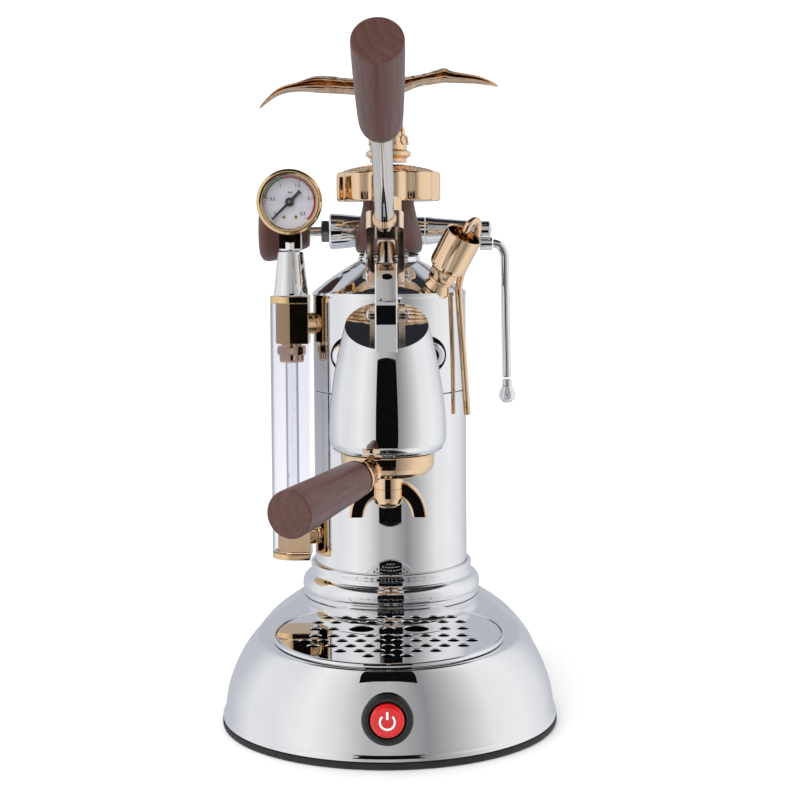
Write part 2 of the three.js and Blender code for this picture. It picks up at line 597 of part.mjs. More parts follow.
// In the lever's own frame -Y runs from the fulcrum to the handle, and Z is square to the rod.
function makeLever() {
  const lever = new THREE.Group();
  const plan = new THREE.Shape();
  const corner = 4;
  plan.moveTo(-FORK_HALF, 8);
  plan.lineTo(-FORK_HALF, -FORK_LENGTH + corner);
  plan.quadraticCurveTo(-FORK_HALF, -FORK_LENGTH, -FORK_HALF + corner, -FORK_LENGTH);
  plan.lineTo(FORK_HALF - corner, -FORK_LENGTH);
  plan.quadraticCurveTo(FORK_HALF, -FORK_LENGTH, FORK_HALF, -FORK_LENGTH + corner);
  plan.lineTo(FORK_HALF, 8);
  plan.lineTo(FORK_SLOT, 8);
  plan.lineTo(FORK_SLOT, -FORK_SLOT_END + corner);
  plan.quadraticCurveTo(FORK_SLOT, -FORK_SLOT_END, FORK_SLOT - corner, -FORK_SLOT_END);
  plan.lineTo(-FORK_SLOT + corner, -FORK_SLOT_END);
  plan.quadraticCurveTo(-FORK_SLOT, -FORK_SLOT_END, -FORK_SLOT, -FORK_SLOT_END + corner);
  plan.lineTo(-FORK_SLOT, 8);
  plan.closePath();
  const block = new THREE.ExtrudeGeometry(plan, { depth: 20, bevelEnabled: false, curveSegments: 4 });
  block.translate(0, 0, -10);
  const eye = alongX(disc(FORK_END_R, -20, 20, 24));
  const side = geometryOf(solid(eye).add(solid(box([-20, -FORK_LENGTH - 1, -FORK_H], [20, 0, FORK_H]))));
  const holes = [
    alongX(disc(PIN_R + GAP, -20, 20, 16)),
    alongX(disc(PIN_R + GAP, -20, 20, 16)).translate(0, -PIN_SPACING, 0),
    alongY(disc(3.3, -FORK_LENGTH - 1, -FORK_SLOT_END - 4, 14)),
  ];
  let fork = solid(block).intersect(solid(side));
  for (const hole of holes) fork = fork.subtract(solid(hole));
  add("lever_fork", geometryOf(fork), GOLD, lever);

  const rod = [[0, -(HANDLE_START + 14)], [ROD_R - 0.8, -(HANDLE_START + 14)], [ROD_R, -(HANDLE_START + 13)],
    [ROD_R, -(FORK_LENGTH + GAP)], [3, -(FORK_LENGTH + GAP)], [3, -(FORK_SLOT_END + 5)], [0, -(FORK_SLOT_END + 5)]];
  add("lever_rod", alongY(lathe(rod, 24)), CHROME, lever);

  const bore = ROD_R + 0.4;
  const handle = [[0, -LEVER_LENGTH], [HANDLE_R - 0.9, -LEVER_LENGTH], [HANDLE_R, -LEVER_LENGTH + 1],
    [HANDLE_R - 0.2, -LEVER_LENGTH + 30], [HANDLE_R - 1, -LEVER_LENGTH + 70], [10.6, -HANDLE_START - 6],
    [8.6, -HANDLE_START - 1.6], [6.8, -HANDLE_START], [bore, -HANDLE_START], [bore, -HANDLE_START - 15],
    [0, -HANDLE_START - 15]];
  add("lever_handle", alongY(lathe(handle, 32)), WOOD, lever);

  for (const [name, along] of [["fulcrum_pin", 0], ["piston_pin", -PIN_SPACING]]) {
    const head = FORK_HALF + GAP;
    const pin = [[0, -head - 1.8], [4, -head - 1.8], [4, -head], [PIN_R, -head], [PIN_R, head + 1.9], [0, head + 1.9]];
    add(name, alongX(lathe(pin, 16)).translate(0, along, 0), STEEL, lever);
    const clip = ring(PIN_R + 0.25, 4.4, head, head + 1.1, 16);
    add(`${name}_clip`, alongX(clip).translate(0, along, 0), STEEL, lever);
  }
  const nut = hexagon(13, FORK_H + GAP, FORK_H + 11).translate(2.8, -FORK_SLOT_END - 4, 0);
  add("lever_nut", nut, GOLD, lever);
  lever.position.copy(FULCRUM);
  lever.rotation.x = -LEVER_TILT;
  machine.add(lever);
}

// ---- Portafilter ----------------------------------------------------------------------------

function makePortafilter() {
  const holder = new THREE.Group();
  const cup = [[4, HOLDER_BOTTOM], [20, HOLDER_BOTTOM], [23.6, 150.2], [26, 152.4], [27.2, 155.2], [HOLDER_R, 158],
    [HOLDER_R, 161], [27, 162.4], [25.5, 162.6], [25.5, 168.1], [23.7, 168.1], [23.7, 152], [4, 152],
    [4, HOLDER_BOTTOM]];
  add("portafilter_body", lathe(cup, 40), GOLD, holder);
  const basket = [[0, 152.4], [22.6, 152.4], [23.1, 153], [23.1, 168.4], [25.2, 168.4], [25.2, 169], [22.3, 169],
    [22.3, 153.2], [0, 153.2]];
  add("filter_basket", lathe(basket, 36), STEEL, holder);

  const hub = lathe([[0, 129.1], [4.6, 129.8], [7.8, 131.7], [9.2, 134.6], [9.2, 148.9], [0, 148.9]], 24);
  const horn = (side) => {
    const path = [[0, 0, 140.3], [side * 8, 0, 140.3], [side * 12, 0, 138.2], [side * 15.5, 0, 134.3],
      [side * 17.6, 0, 129.5], [side * SPOUT_X, 0, SPOUT_Z]];
    return bar(path, HORN_R, 9);
  };
  const drain = disc(3, 141, 152, 12);
  const spout = carve(hub, [horn(1), horn(-1)], [drain]).translate(0, GROUP_Y, 0);
  add("portafilter_spout", spout, GOLD);

  const arm = new THREE.Group();
  const ferrule = [[0, -27.9], [7.2, -27.9], [6.6, -31], [8.2, -36], [10.3, -44], [10.5, -46.5], [0, -46.5]];
  add("portafilter_ferrule", alongY(lathe(ferrule, 24)), GOLD, arm);
  const grip = [[0, -130.5], [11.8, -130.5], [12.8, -129.4], [12.8, -122], [12.2, -100], [11.4, -75], [10.7, -55],
    [10.2, -46.8], [0, -46.8]];
  add("portafilter_handle", alongY(lathe(grip, 32)), WOOD, arm);
  arm.position.z = 156.5;
  arm.rotation.x = HANDLE_DROP;
  holder.add(arm);
  holder.position.y = GROUP_Y;
  holder.rotation.z = HOLDER_ANGLE;
  machine.add(holder);
}

// ---- Sight glass and pressure gauge ---------------------------------------------------------

// A block about the tube: half round on the outside, straight sides running towards the boiler.
function tongue(radius, low, high, back = SIGHT_BACK) {
  const plan = new THREE.Shape();
  plan.moveTo(back, radius);
  plan.absarc(0, 0, radius, Math.PI / 2, 1.5 * Math.PI, false);
  plan.lineTo(back, -radius);
  plan.closePath();
  const block = new THREE.ExtrudeGeometry(plan, { depth: high - low, bevelEnabled: false, curveSegments: 8 });
  return block.translate(0, 0, low);
}

function makeSightGlass() {
  const column = new THREE.Group();
  const toBoiler = Math.atan2(-SIGHT_Y, -SIGHT_X);
  const reach = Math.hypot(SIGHT_X, SIGHT_Y);
  const envelope = () => boilerEnvelope().translate(-SIGHT_X, -SIGHT_Y, 0);
  const arm = (z, r) => alongX(disc(r, 0, reach - 45, 20)).rotateZ(toBoiler).translate(0, 0, z);

  const top = [tongue(FLANGE_R, 246.3, 250.6), arm(232.6, 7)];
  add("sight_block_top", carve(tongue(BLOCK_R, 219.9, 246.6), top, [envelope()]), GOLD, column);
  const bottom = [tongue(FLANGE_R, 80.3, 84.2), arm(94, 6)];
  const bore = disc(4.5, 99.6, 110, 16);
  add("sight_block_bottom", carve(tongue(BLOCK_R, 80.3, 106), bottom, [envelope(), bore]), GOLD, column);
  const collars = [disc(7.9, 207.8, 212.8, 24), disc(6.5, 217.6, 219.6, 24)];
  add("sight_nut", carve(hexagon(17.6, 212.6, 218.2), collars, [disc(4.5, 200, 219, 16)]), BRASS, column);
  add("sight_tube", ring(3, 4.1, 100, 218.6, 16), CLEAR, column);

  const hollow = tongue(FLANGE_R - SHIELD_WALL, SHIELD_BOTTOM - 1, SHIELD_TOP + 1, SIGHT_BACK + 5);
  const wall = carve(tongue(FLANGE_R, SHIELD_BOTTOM, SHIELD_TOP), [], [hollow]);
  add("sight_shield", wall, CLEAR, column);

  const cone = [[0, 250.9], [11.2, 250.9], [11, 253.6], [8.4, 277.6], [7.9, 279.6], [0, 279.6]];
  add("gauge_cone", lathe(cone, 28), CHROME, column);
  add("gauge_nut", hexagon(14.2, 279.9, 285.3), CHROME, column);

  const shell = [[0, 10], [17.5, 10], [19, 8], [19, -4.5], [GAUGE_R, -6], [GAUGE_R, -9.6], [20, -11.2], [17.6, -11.2],
    [17.6, -3.4], [16, -3.4], [16, 7.5], [0, 7.5]];
  const boss = disc(6.8, 285.6, GAUGE_Z - 18, 20);
  add("gauge_case", carve(alongY(lathe(shell, 40)).translate(0, 0, GAUGE_Z), [boss], []), GOLD, column);
  const face = alongY(disc(17.2, -4.5, -3.8, 40)).translate(0, 0, GAUGE_Z);
  add("gauge_dial", face, WHITE, column);
  const glass = alongY(disc(17.2, -10, -8.8, 40)).translate(0, 0, GAUGE_Z);
  add("gauge_glass", glass, CLEAR, column);

  const pointer = new THREE.Shape();
  [[-1.1, -5], [1.1, -5], [0.35, 13.5], [-0.35, 13.5]].forEach(([x, y], i) => {
    if (i === 0) pointer.moveTo(x, y);
    else pointer.lineTo(x, y);
  });
  pointer.closePath();
  const blade = new THREE.ExtrudeGeometry(pointer, { depth: 0.6, bevelEnabled: false });
  blade.translate(0, 0, 6.2).rotateX(Math.PI / 2);
  const hub = alongY(disc(2, -7.4, -5, 14));
  const needle = geometryOf(solid(blade).add(solid(hub)));
  needle.rotateY(-135 * DEG).translate(0, 0, GAUGE_Z);
  add("gauge_needle", needle, BLACK, column);
  column.position.set(SIGHT_X, SIGHT_Y, 0);
  machine.add(column);
}

// ---- Steam valve and wand -------------------------------------------------------------------

function makeSteamValve() {
  const valve = new THREE.Group();
  const knob = [[0, -87.6], [15.5, -87.6], [19.2, -86], [20, -82.5], [18.6, -74], [14.6, -65], [11.6, -58], [10.6, -54.4],
    [0, -54.4]];
  add("steam_knob", alongX(lathe(knob, 28)), WOOD, valve);
  add("steam_stem", alongX(disc(3.2, -54.1, -42.6, 16)), CHROME, valve);
  const packing = carve(alongX(hexagon(14.4, -46, -41)), [], [alongX(disc(3.6, -50, -42.2, 16))]);
  add("steam_packing_nut", packing, STEEL, valve);

  const shape = [[0, -40.7], [11.2, -40.7], [12.2, -39.4], [11.7, -32], [10.6, -22], [9.9, -8], [8.8, 17], [9.6, 19],
    [9.6, 24], [0, 24]];
  const neck = disc(7, -40, -2, 20);
  const envelope = boilerEnvelope().translate(0, -VALVE_Y, -VALVE_Z);
  add("steam_valve_body", carve(alongX(lathe(shape, 28)), [neck], [envelope]), CHROME, valve);

  const spigot = alongX(lathe([[0, 24.3], [9.4, 24.3], [8.8, 30], [6.2, 58], [5.8, 66], [0, 66]], 24));
  const block = alongX(disc(6.4, 60, 69.5, 20));
  const socket = alongX(disc(4.4, 60, 70, 16)).translate(0, 0, WAND_Z - VALVE_Z);
  add("steam_outlet", carve(spigot, [block, socket], []), CHROME, valve);

  const low = WAND_BOTTOM - VALVE_Z;
  const lead = WAND_Z - VALVE_Z;
  const pipe = bar([[70.3, 0, lead], [73, 0, lead], [76, 0, lead - 1.8], [77.8, 0, lead - 6], [WAND_X, 0, lead - 13],
    [WAND_X + 0.6, 0, -70], [WAND_X + 1.2, 0, low]], WAND_R, 18);
  const tip = new THREE.SphereGeometry(5.6, 12, 8).translate(WAND_X + 1.3, 0, low - 6);
  const neckRing = disc(4, low - 3, low + 1.5, 16).translate(WAND_X + 1.2, 0, 0);
  add("steam_wand", carve(pipe, [tip, neckRing], []), CHROME, valve);
  valve.position.set(0, VALVE_Y, VALVE_Z);
  machine.add(valve);
}

// ---- Relief valve ---------------------------------------------------------------------------

function leaned(geometry) {
  return geometry.rotateY(RELIEF_LEAN).rotateZ(RELIEF_AZIMUTH).translate(...RELIEF_FOOT.toArray());
}

function makeReliefValve() {
  const neck = leaned(disc(6.8, -14, 5, 20));
  const hex = leaned(turned([[0, 4], [7.6, 4], [8.7, 5], [8.7, 9.2], [7.6, 10], [0, 10]], 6));
  add("relief_body", carve(neck, [hex], [boilerEnvelope()]), GOLD);
  const cup = [[0, 10.4], [9.6, 10.4], [CUP_R, 13], [CUP_R, 36.5], [CUP_R - 1.4, 36.5], [CUP_R - 1.4, 14.5], [9, 12.6],
    [0, 12.6]];
  add("relief_cup", leaned(lathe(cup, 32)), GOLD);
  const pipe = [[41.1, -40.3, 276.6], [44.5, -43.2, 283.2], [47.9, -46.1, 290], [51, -47.2, 296], [55, -43.5, 298.4],
    [57, -37, 295.5], [56, -31.5, 288], [51.5, -27.6, 277.5], [47.8, -27.3, 268], [45.2, -28.6, 258],
    [44.9, -29.2, 248], [47.4, -26.8, 212], [49.9, -25.2, 174]];
  add("relief_pipe", bar(pipe, 2.3, 30), GOLD);
}

makeBase();
makeTray();
makeBoiler();
makeCap();
makeGroup();
makePiston();
makeLever();
makePortafilter();
makeSightGlass();
makeSteamValve();
makeReliefValve();

export default machine;
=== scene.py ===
import json
import math
import random

import bmesh
import bpy
from mathutils import Matrix, Vector


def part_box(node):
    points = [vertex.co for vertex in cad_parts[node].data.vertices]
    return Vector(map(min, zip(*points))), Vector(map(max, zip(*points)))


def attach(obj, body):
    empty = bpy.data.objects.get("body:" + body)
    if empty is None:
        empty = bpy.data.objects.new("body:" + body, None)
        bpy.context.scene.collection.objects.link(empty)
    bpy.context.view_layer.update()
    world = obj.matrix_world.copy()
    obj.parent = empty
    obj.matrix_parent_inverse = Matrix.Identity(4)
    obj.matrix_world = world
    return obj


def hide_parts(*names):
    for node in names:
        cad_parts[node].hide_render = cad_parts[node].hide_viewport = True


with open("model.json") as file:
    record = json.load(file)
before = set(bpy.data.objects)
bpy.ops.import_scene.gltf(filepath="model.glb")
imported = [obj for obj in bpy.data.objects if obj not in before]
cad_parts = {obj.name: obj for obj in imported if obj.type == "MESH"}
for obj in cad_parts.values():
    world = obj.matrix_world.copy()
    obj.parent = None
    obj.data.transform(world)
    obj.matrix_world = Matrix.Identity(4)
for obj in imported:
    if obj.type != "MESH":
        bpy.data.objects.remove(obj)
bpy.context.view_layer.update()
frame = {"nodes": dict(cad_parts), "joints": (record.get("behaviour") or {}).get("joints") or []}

# A lever espresso machine. Sizes here are in millimetres, and make() turns them into metres.
MM = 0.001
FINE = 160  # segments round a large piece
COARSE = 72  # segments round a small one
SHARP = 32  # degrees above which an edge stays sharp
CHANCE = random.Random(7)


# ---- The frame ------------------------------------------------------------------------------


def corners(node):
    """The node's lowest and highest corners and its centre at rest, in millimetres."""
    low, high = (Vector(v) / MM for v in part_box(node))
    return low, high, (low + high) / 2


def pivot(joint):
    """Where a hinge's axis passes, in millimetres."""
    place = next(j["pos_m"] for j in frame["joints"] if j["name"] == joint)
    return Vector(place) / MM


# ---- Curves and outlines --------------------------------------------------------------------


def smooth(points, steps=6, closed=False):
    """A Catmull-Rom curve through the points."""
    n = len(points)
    out = []
    for i in range(n if closed else n - 1):
        p1, p2 = points[i], points[(i + 1) % n]
        p0 = points[i - 1] if i or closed else [2 * a - b for a, b in zip(p1, p2)]
        p3 = points[(i + 2) % n] if i + 2 < n or closed else [2 * b - a for a, b in zip(p1, p2)]
        for k in range(steps):
            t = k / steps
            out.append(tuple(
                0.5 * (2 * b + (c - a) * t + (2 * a - 5 * b + 4 * c - d) * t**2
                       + (3 * b - a - 3 * c + d) * t**3) for a, b, c, d in zip(p0, p1, p2, p3)))
    if not closed:
        out.append(tuple(points[-1]))
    return out


def rounded(profile, steps=5):
    """The profile with each (a, b, radius) corner turned into a bend, and each (a, b) kept."""
    out = []
    for i, (a, b, *radius) in enumerate(profile):
        here = Vector((a, b))
        if not radius:
            out.append((a, b))
            continue
        back = Vector(profile[i - 1][:2]) - here
        ahead = Vector(profile[(i + 1) % len(profile)][:2]) - here
        reach = radius[0] / math.tan(back.angle(ahead) / 2)
        reach = min(reach, 0.49 * back.length, 0.49 * ahead.length)
        start, end = here + back.normalized() * reach, here + ahead.normalized() * reach
        for k in range(steps + 1):
            t = k / steps
            out.append(tuple((1 - t) ** 2 * start + 2 * t * (1 - t) * here + t * t * end))
    return out


def arc(radius, start, end, steps, centre=(0, 0)):
    """Points on an arc, in degrees anticlockwise."""
    turns = (math.radians(start + (end - start) * i / steps) for i in range(steps + 1))
    return [(centre[0] + radius * math.cos(a), centre[1] + radius * math.sin(a)) for a in turns]


# ---- Closed shapes, as (corners, faces) -----------------------------------------------------


def spin(profile, segments=FINE):
    """A body of revolution about Z from (radius, height) pairs."""
    verts, rows = [], []
    for radius, height, *_ in profile:
        start = len(verts)
        if radius < 1e-6:
            rows.append([start] * segments)
            verts.append(Vector((0, 0, height)))
            continue
        rows.append(range(start, start + segments))
        for i in range(segments):
            a = math.tau * i / segments
            verts.append(Vector((radius * math.cos(a), radius * math.sin(a), height)))
    pairs = list(zip(rows, rows[1:]))
    if profile[0][0] > 1e-6:
        pairs.append((rows[-1], rows[0]))
    faces = []
    for low, high in pairs:
        for i in range(segments):
            j = (i + 1) % segments
            face = tuple(dict.fromkeys((low[i], low[j], high[j], high[i])))
            if len(face) > 2:
                faces.append(face)
    return verts, faces


def skin(rings, ends=True):
    """A surface over rings of equally many points, with both ends closed or the rings joined in a loop."""
    n = len(rings[0])
    verts = [Vector(p) for ring in rings for p in ring]
    faces = []
    for r in range(len(rings) - ends):
        s = (r + 1) % len(rings)
        faces += [(r * n + i, r * n + (i + 1) % n, s * n + (i + 1) % n, s * n + i) for i in range(n)]
    if ends:
        faces.append(tuple(reversed(range(n))))
        faces.append(tuple(range((len(rings) - 1) * n, len(rings) * n)))
    return verts, faces


def prism(outline, low, high):
    """An outline in X-Y drawn up from one height to another."""
    return skin([[(x, y, z) for x, y, *_ in outline] for z in (low, high)])


def block(low, high):
    outline = [(low[0], low[1]), (high[0], low[1]), (high[0], high[1]), (low[0], high[1])]
    return prism(outline, low[2], high[2])


def rod(radius, low, high, segments=COARSE):
    """A plain round bar on Z, mostly used to cut a hole."""
    return spin([(0, low), (radius, low), (radius, high), (0, high)], segments)


def hexagon(across_flats, low, high):
    """A six-sided bar on Z with its flats facing along X."""
    return prism(arc(across_flats / math.sqrt(3), 30, 330, 5), low, high)


def sweep(points, radius, sides=28, bore=0):
    """A bar or, with a bore, a pipe open at its far end, along points.

    The radius is one number, or one for each point."""
    path = [Vector(p) for p in points]
    radii = radius if isinstance(radius, list) else [radius] * len(path)
    across = None
    rings = []
    for i, here in enumerate(path):
        along = (path[min(i + 1, len(path) - 1)] - path[max(i - 1, 0)]).normalized()
        if across is None:
            across = along.orthogonal().normalized()
        across = (across - along * across.dot(along)).normalized()
        up = along.cross(across)
        turns = (math.tau * k / sides for k in range(sides))
        rings.append([here + (across * math.cos(a) + up * math.sin(a)) * radii[i] for a in turns])
    if bore:
        back = (path[-4] - path[-1]).normalized() * 3 * radii[-1]
        narrow = [path[-1] + (p - path[-1]) * (bore / radii[-1]) for p in rings[-1]]
        rings += [narrow, [p + back for p in narrow]]
    return skin(rings)


def joined(*shapes):
    verts, faces = [], []
    for more, sides in shapes:
        start = len(verts)
        verts += more
        faces += [tuple(i + start for i in face) for face in sides]
    return verts, faces


def placed(shape, matrix):
    return [matrix @ Vector(v) for v in shape[0]], shape[1]


def shifted(shape, x=0, y=0, z=0):
    return placed(shape, at(x, y, z))


def at(x, y, z):
    return Matrix.Translation((x, y, z))


def turned(degrees, axis):
    return Matrix.Rotation(math.radians(degrees), 4, axis)


ALONG_X = turned(90, "Y")  # Z becomes X
ALONG_Y = turned(-90, "X")  # Z becomes Y
STOOD_UP = turned(90, "X")  # Z becomes -Y


# ---- Objects --------------------------------------------------------------------------------


def solid(name, shape):
    mesh = bpy.data.meshes.new(name)
    mesh.from_pydata([tuple(Vector(v) * MM) for v in shape[0]], [], shape[1])
    work = bmesh.new()
    work.from_mesh(mesh)
    bmesh.ops.remove_doubles(work, verts=work.verts, dist=1e-7)
    bmesh.ops.recalc_face_normals(work, faces=work.faces)
    work.to_mesh(mesh)
    work.free()
    obj = bpy.data.objects.new(name, mesh)
    bpy.context.scene.collection.objects.link(obj)
    return obj


def settle(obj):
    """Turns the object's modifiers into its mesh."""
    graph = bpy.context.evaluated_depsgraph_get()
    mesh = bpy.data.meshes.new_from_object(obj.evaluated_get(graph))
    obj.modifiers.clear()
    obj.data = mesh
    return obj


def combine(obj, shape, operation):
    tool = solid("tool", shape)
    change = obj.modifiers.new("combine", "BOOLEAN")
    change.operation, change.solver, change.object = operation, "EXACT", tool
    settle(obj)
    bpy.data.objects.remove(tool)
    return obj


def cut(obj, *shapes):
    for shape in shapes:
        combine(obj, shape, "DIFFERENCE")
    return obj


def fuse(obj, *shapes):
    for shape in shapes:
        combine(obj, shape, "UNION")
    return obj


def moved(obj, matrix):
    """Moves a mesh by a matrix in millimetres."""
    obj.data.transform(Matrix.Scale(MM, 4) @ matrix @ Matrix.Scale(1 / MM, 4))
    return obj


def nut(name, across_flats, low, high, chamfer=0.8):
    """A nut on Z with its corners turned down at both ends."""
    flat, corner = across_flats / 2, across_flats / math.sqrt(3)
    turning = spin([(0, low), (flat, low), (corner, low + chamfer), (corner, high - chamfer), (flat, high),
                    (0, high)], COARSE)
    return combine(solid(name, hexagon(across_flats, low, high)), turning, "INTERSECT")


def bevel(obj, width, segments=3, angle=SHARP):
    change = obj.modifiers.new("bevel", "BEVEL")
    change.width, change.segments = width * MM, segments
    change.limit_method, change.angle_limit = "ANGLE", math.radians(angle)
    change.use_clamp_overlap = True
    return settle(obj)


def dress(obj, look, body, *nodes, slot=None, sharp=SHARP, weighted=True):
    """Gives a mesh its shading, material and body, and hides the CAD nodes that it stands for.

    The slot argument is not used."""
    mesh = obj.data
    mesh.materials.clear()
    mesh.materials.append(look)
    mesh.polygons.foreach_set("use_smooth", [True] * len(mesh.polygons))
    mesh.set_sharp_from_angle(angle=math.radians(sharp))
    if weighted:
        change = obj.modifiers.new("even_normals", "WEIGHTED_NORMAL")
        change.keep_sharp, change.mode = True, "FACE_AREA"
    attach(obj, body)
    if nodes:
        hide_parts(*nodes)
    return obj


def make(name, shape, look, body, *nodes, **how):
    return dress(solid(name, shape), look, body, *nodes, **how)


# ---- Materials ------------------------------------------------------------------------------


def fill_ramp(node, stops):
    """Sets a colour ramp to stops of a place from 0 to 1 and a colour."""
    elements = node.color_ramp.elements
    while len(elements) < len(stops):
        elements.new(0.5)
    for element, (position, colour) in zip(elements, stops):
        element.position, element.color = position, (*colour, 1)
    return node


def preset(node, **values):
    """Sets a node's sockets, named with underscores for spaces."""
    for socket, value in values.items():
        node.inputs[socket.replace("_", " ")].default_value = value
    return node


class Look:
    """A Principled material with procedural detail in the object's own coordinates."""

    def __init__(self, name, colour, roughness, metallic=0.0, **sockets):
        self.material = bpy.data.materials.new(name)
        self.material.use_nodes = True
        self.tree = self.material.node_tree
        self.shader = self.tree.nodes["Principled BSDF"]
        self.set("Base Color", (*colour, 1))
        self.set("Roughness", roughness)
        self.set("Metallic", metallic)
        for socket, value in sockets.items():
            self.set(socket.replace("_", " ").title().replace("Ior", "IOR"), value)
        self.place = self.add("ShaderNodeTexCoord").outputs["Object"]

    def set(self, socket, value):
        self.shader.inputs[socket].default_value = value

    def add(self, kind, **settings):
        node = self.tree.nodes.new(kind)
        for key, value in settings.items():
            setattr(node, key, value)
        return node

    def link(self, source, target):
        self.tree.links.new(source, target)

    def local(self, centre, axis, stretch=1):
        """Coordinates about a centre with Z along the axis, and drawn out along it."""
        tilt = Vector((0, 0, 1)).rotation_difference(Vector(axis)).to_euler()
        node = preset(self.add("ShaderNodeMapping", vector_type="TEXTURE"), Location=Vector(centre) * MM,
                      Rotation=tilt, Scale=(1, 1, stretch))
        self.link(self.place, node.inputs["Vector"])
        return node.outputs["Vector"]

    def noise(self, scale, detail=3, distortion=0, place=None):
        node = preset(self.add("ShaderNodeTexNoise"), Scale=scale, Detail=detail, Distortion=distortion,
                      Roughness=0.55)
        self.link(place or self.place, node.inputs["Vector"])
        return node.outputs["Fac"]

    def blend(self, factor, *stops):
        node = fill_ramp(self.add("ShaderNodeValToRGB"), stops)
        self.link(factor, node.inputs["Fac"])
        return node.outputs["Color"]

    def span(self, factor, low, high):
        """The factor's middle range mapped onto low to high."""
        node = preset(self.add("ShaderNodeMapRange"), From_Min=0.3, From_Max=0.7, To_Min=low, To_Max=high)
        self.link(factor, node.inputs["Value"])
        return node.outputs["Result"]

    def multiplied(self, first, second, factor=1.0):
        node = preset(self.add("ShaderNodeMix", data_type="RGBA", blend_type="MULTIPLY"), Factor=factor)
        self.link(first, node.inputs[6])
        self.link(second, node.inputs[7])
        return node.outputs[2]

    def bump(self, height, strength, depth):
        node = preset(self.add("ShaderNodeBump"), Strength=strength, Distance=depth * MM)
        self.link(height, node.inputs["Height"])
        self.link(node.outputs["Normal"], self.shader.inputs["Normal"])

    def colour(self, source):
        self.link(source, self.shader.inputs["Base Color"])

    def rough(self, source):
        self.link(source, self.shader.inputs["Roughness"])


def shade(colour, factor):
    return tuple(min(1.0, c * factor) for c in colour)


def polished(name, tint, haze=0.05, wave=0.006):
    """Plated and polished metal: faint clouds in its colour, light smears in its gloss, a slight waviness."""
    look = Look(name, tint, haze, 1.0)
    look.colour(look.blend(look.noise(34, 4), (0.35, shade(tint, 0.965)), (0.65, tint)))
    look.rough(look.span(look.noise(120, 5, 0.6), haze * 0.4, haze))
    look.bump(look.noise(48, 2), 0.25, wave)
    return look.material


def brushed(name, tint, axis, haze=0.32):
    """Metal with fine tool marks running round the axis."""
    look = Look(name, tint, haze, 1.0)
    marks = look.noise(900, 3, 0, look.local((0, 0, 0), axis, 0.03))
    look.colour(look.blend(marks, (0.3, shade(tint, 0.82)), (0.7, tint)))
    look.rough(look.span(marks, haze * 0.7, haze * 1.2))
    look.bump(marks, 0.3, 0.02)
    return look.material


def timber(name, centre, axis):
    """Reddish brown hardwood, satin oiled, with its grain along the axis."""
    look = Look(name, (0.1, 0.04, 0.03), 0.42, specular_ior_level=0.5, coat_weight=0.12, coat_roughness=0.3)
    grain = look.local(Vector(centre) + Vector((17, 9, 6)), axis, 11)
    rings = look.add("ShaderNodeTexWave", wave_type="RINGS", rings_direction="Z", wave_profile="SAW")
    preset(rings, Scale=55, Distortion=5.5, Detail=3, Detail_Scale=1.2)
    look.link(grain, rings.inputs["Vector"])
    growth = look.blend(rings.outputs["Fac"], (0.0, (0.094, 0.036, 0.029)), (0.55, (0.106, 0.042, 0.034)),
                        (0.85, (0.114, 0.047, 0.038)), (1.0, (0.087, 0.033, 0.027)))
    fibres = look.noise(620, 4, 0.3, grain)
    streaks = look.blend(fibres, (0.32, (0.82, 0.8, 0.8)), (0.62, (1.02, 1.02, 1.01)))
    clouds = look.blend(look.noise(60, 3, 0, grain), (0.3, (0.88, 0.85, 0.85)), (0.7, (1.08, 1.07, 1.06)))
    look.colour(look.multiplied(look.multiplied(growth, streaks), clouds, 0.85))
    look.rough(look.span(fibres, 0.5, 0.34))
    look.bump(look.noise(1500, 3, 0, look.local(centre, axis, 16)), 0.35, 0.05)
    return look.material


def moulded(name, tint, haze, pit=0.03, **sockets):
    """Moulded plastic or rubber with a fine-grained skin."""
    look = Look(name, tint, haze, **sockets)
    look.colour(look.blend(look.noise(90, 4), (0.3, shade(tint, 0.8)), (0.7, shade(tint, 1.2))))
    look.rough(look.span(look.noise(500, 3), haze * 0.85, haze * 1.15))
    look.bump(look.noise(2600, 2), 0.3, pit)
    return look.material


def lens_red():
    look = Look("red_lens", (0.62, 0.012, 0.016), 0.12, coat_weight=1.0, coat_roughness=0.03,
                subsurface_weight=0.1, subsurface_scale=0.002)
    look.colour(look.blend(look.noise(160, 3), (0.3, (0.52, 0.008, 0.012)), (0.7, (0.68, 0.014, 0.018))))
    look.bump(look.noise(300, 2), 0.15, 0.02)
    return look.material


def enamel(name, tint, haze=0.35):
    look = Look(name, tint, haze, coat_weight=0.3, coat_roughness=0.08)
    look.colour(look.blend(look.noise(420, 4), (0.3, shade(tint, 0.965)), (0.7, tint)))
    look.bump(look.noise(1400, 2), 0.12, 0.01)
    return look.material


def glass(name, tint, haze, ior=1.46, **sockets):
    """Clear glass or acrylic with faint smears."""
    look = Look(name, tint, haze, transmission_weight=1.0, ior=ior, **sockets)
    look.rough(look.span(look.noise(140, 4, 0.5), haze * 0.3, haze))
    look.bump(look.noise(70, 2), 0.15, 0.01)
    return look.material


def feathered(name, tint):
    """Cast and polished metal with painted shade darkening its hollows."""
    look = Look(name, tint, 0.16, 1.0)
    crevice = look.add("ShaderNodeNewGeometry").outputs["Pointiness"]
    # Painted shade: pointiness darkens the hollows and creases of the polished metal.
    hollow_shade = look.blend(crevice, (0.42, shade(tint, 0.22)), (0.48, shade(tint, 0.8)), (0.54, shade(tint, 1.08)))
    clouds = look.blend(look.noise(420, 4), (0.3, (0.84, 0.8, 0.74)), (0.65, (1.0, 1.0, 1.0)))
    look.colour(look.multiplied(hollow_shade, clouds))
    look.rough(look.span(look.noise(700, 4), 0.12, 0.3))
    look.bump(look.noise(900, 4), 0.5, 0.12)
    return look.material


GOLD_TINT = (0.9, 0.655, 0.43)

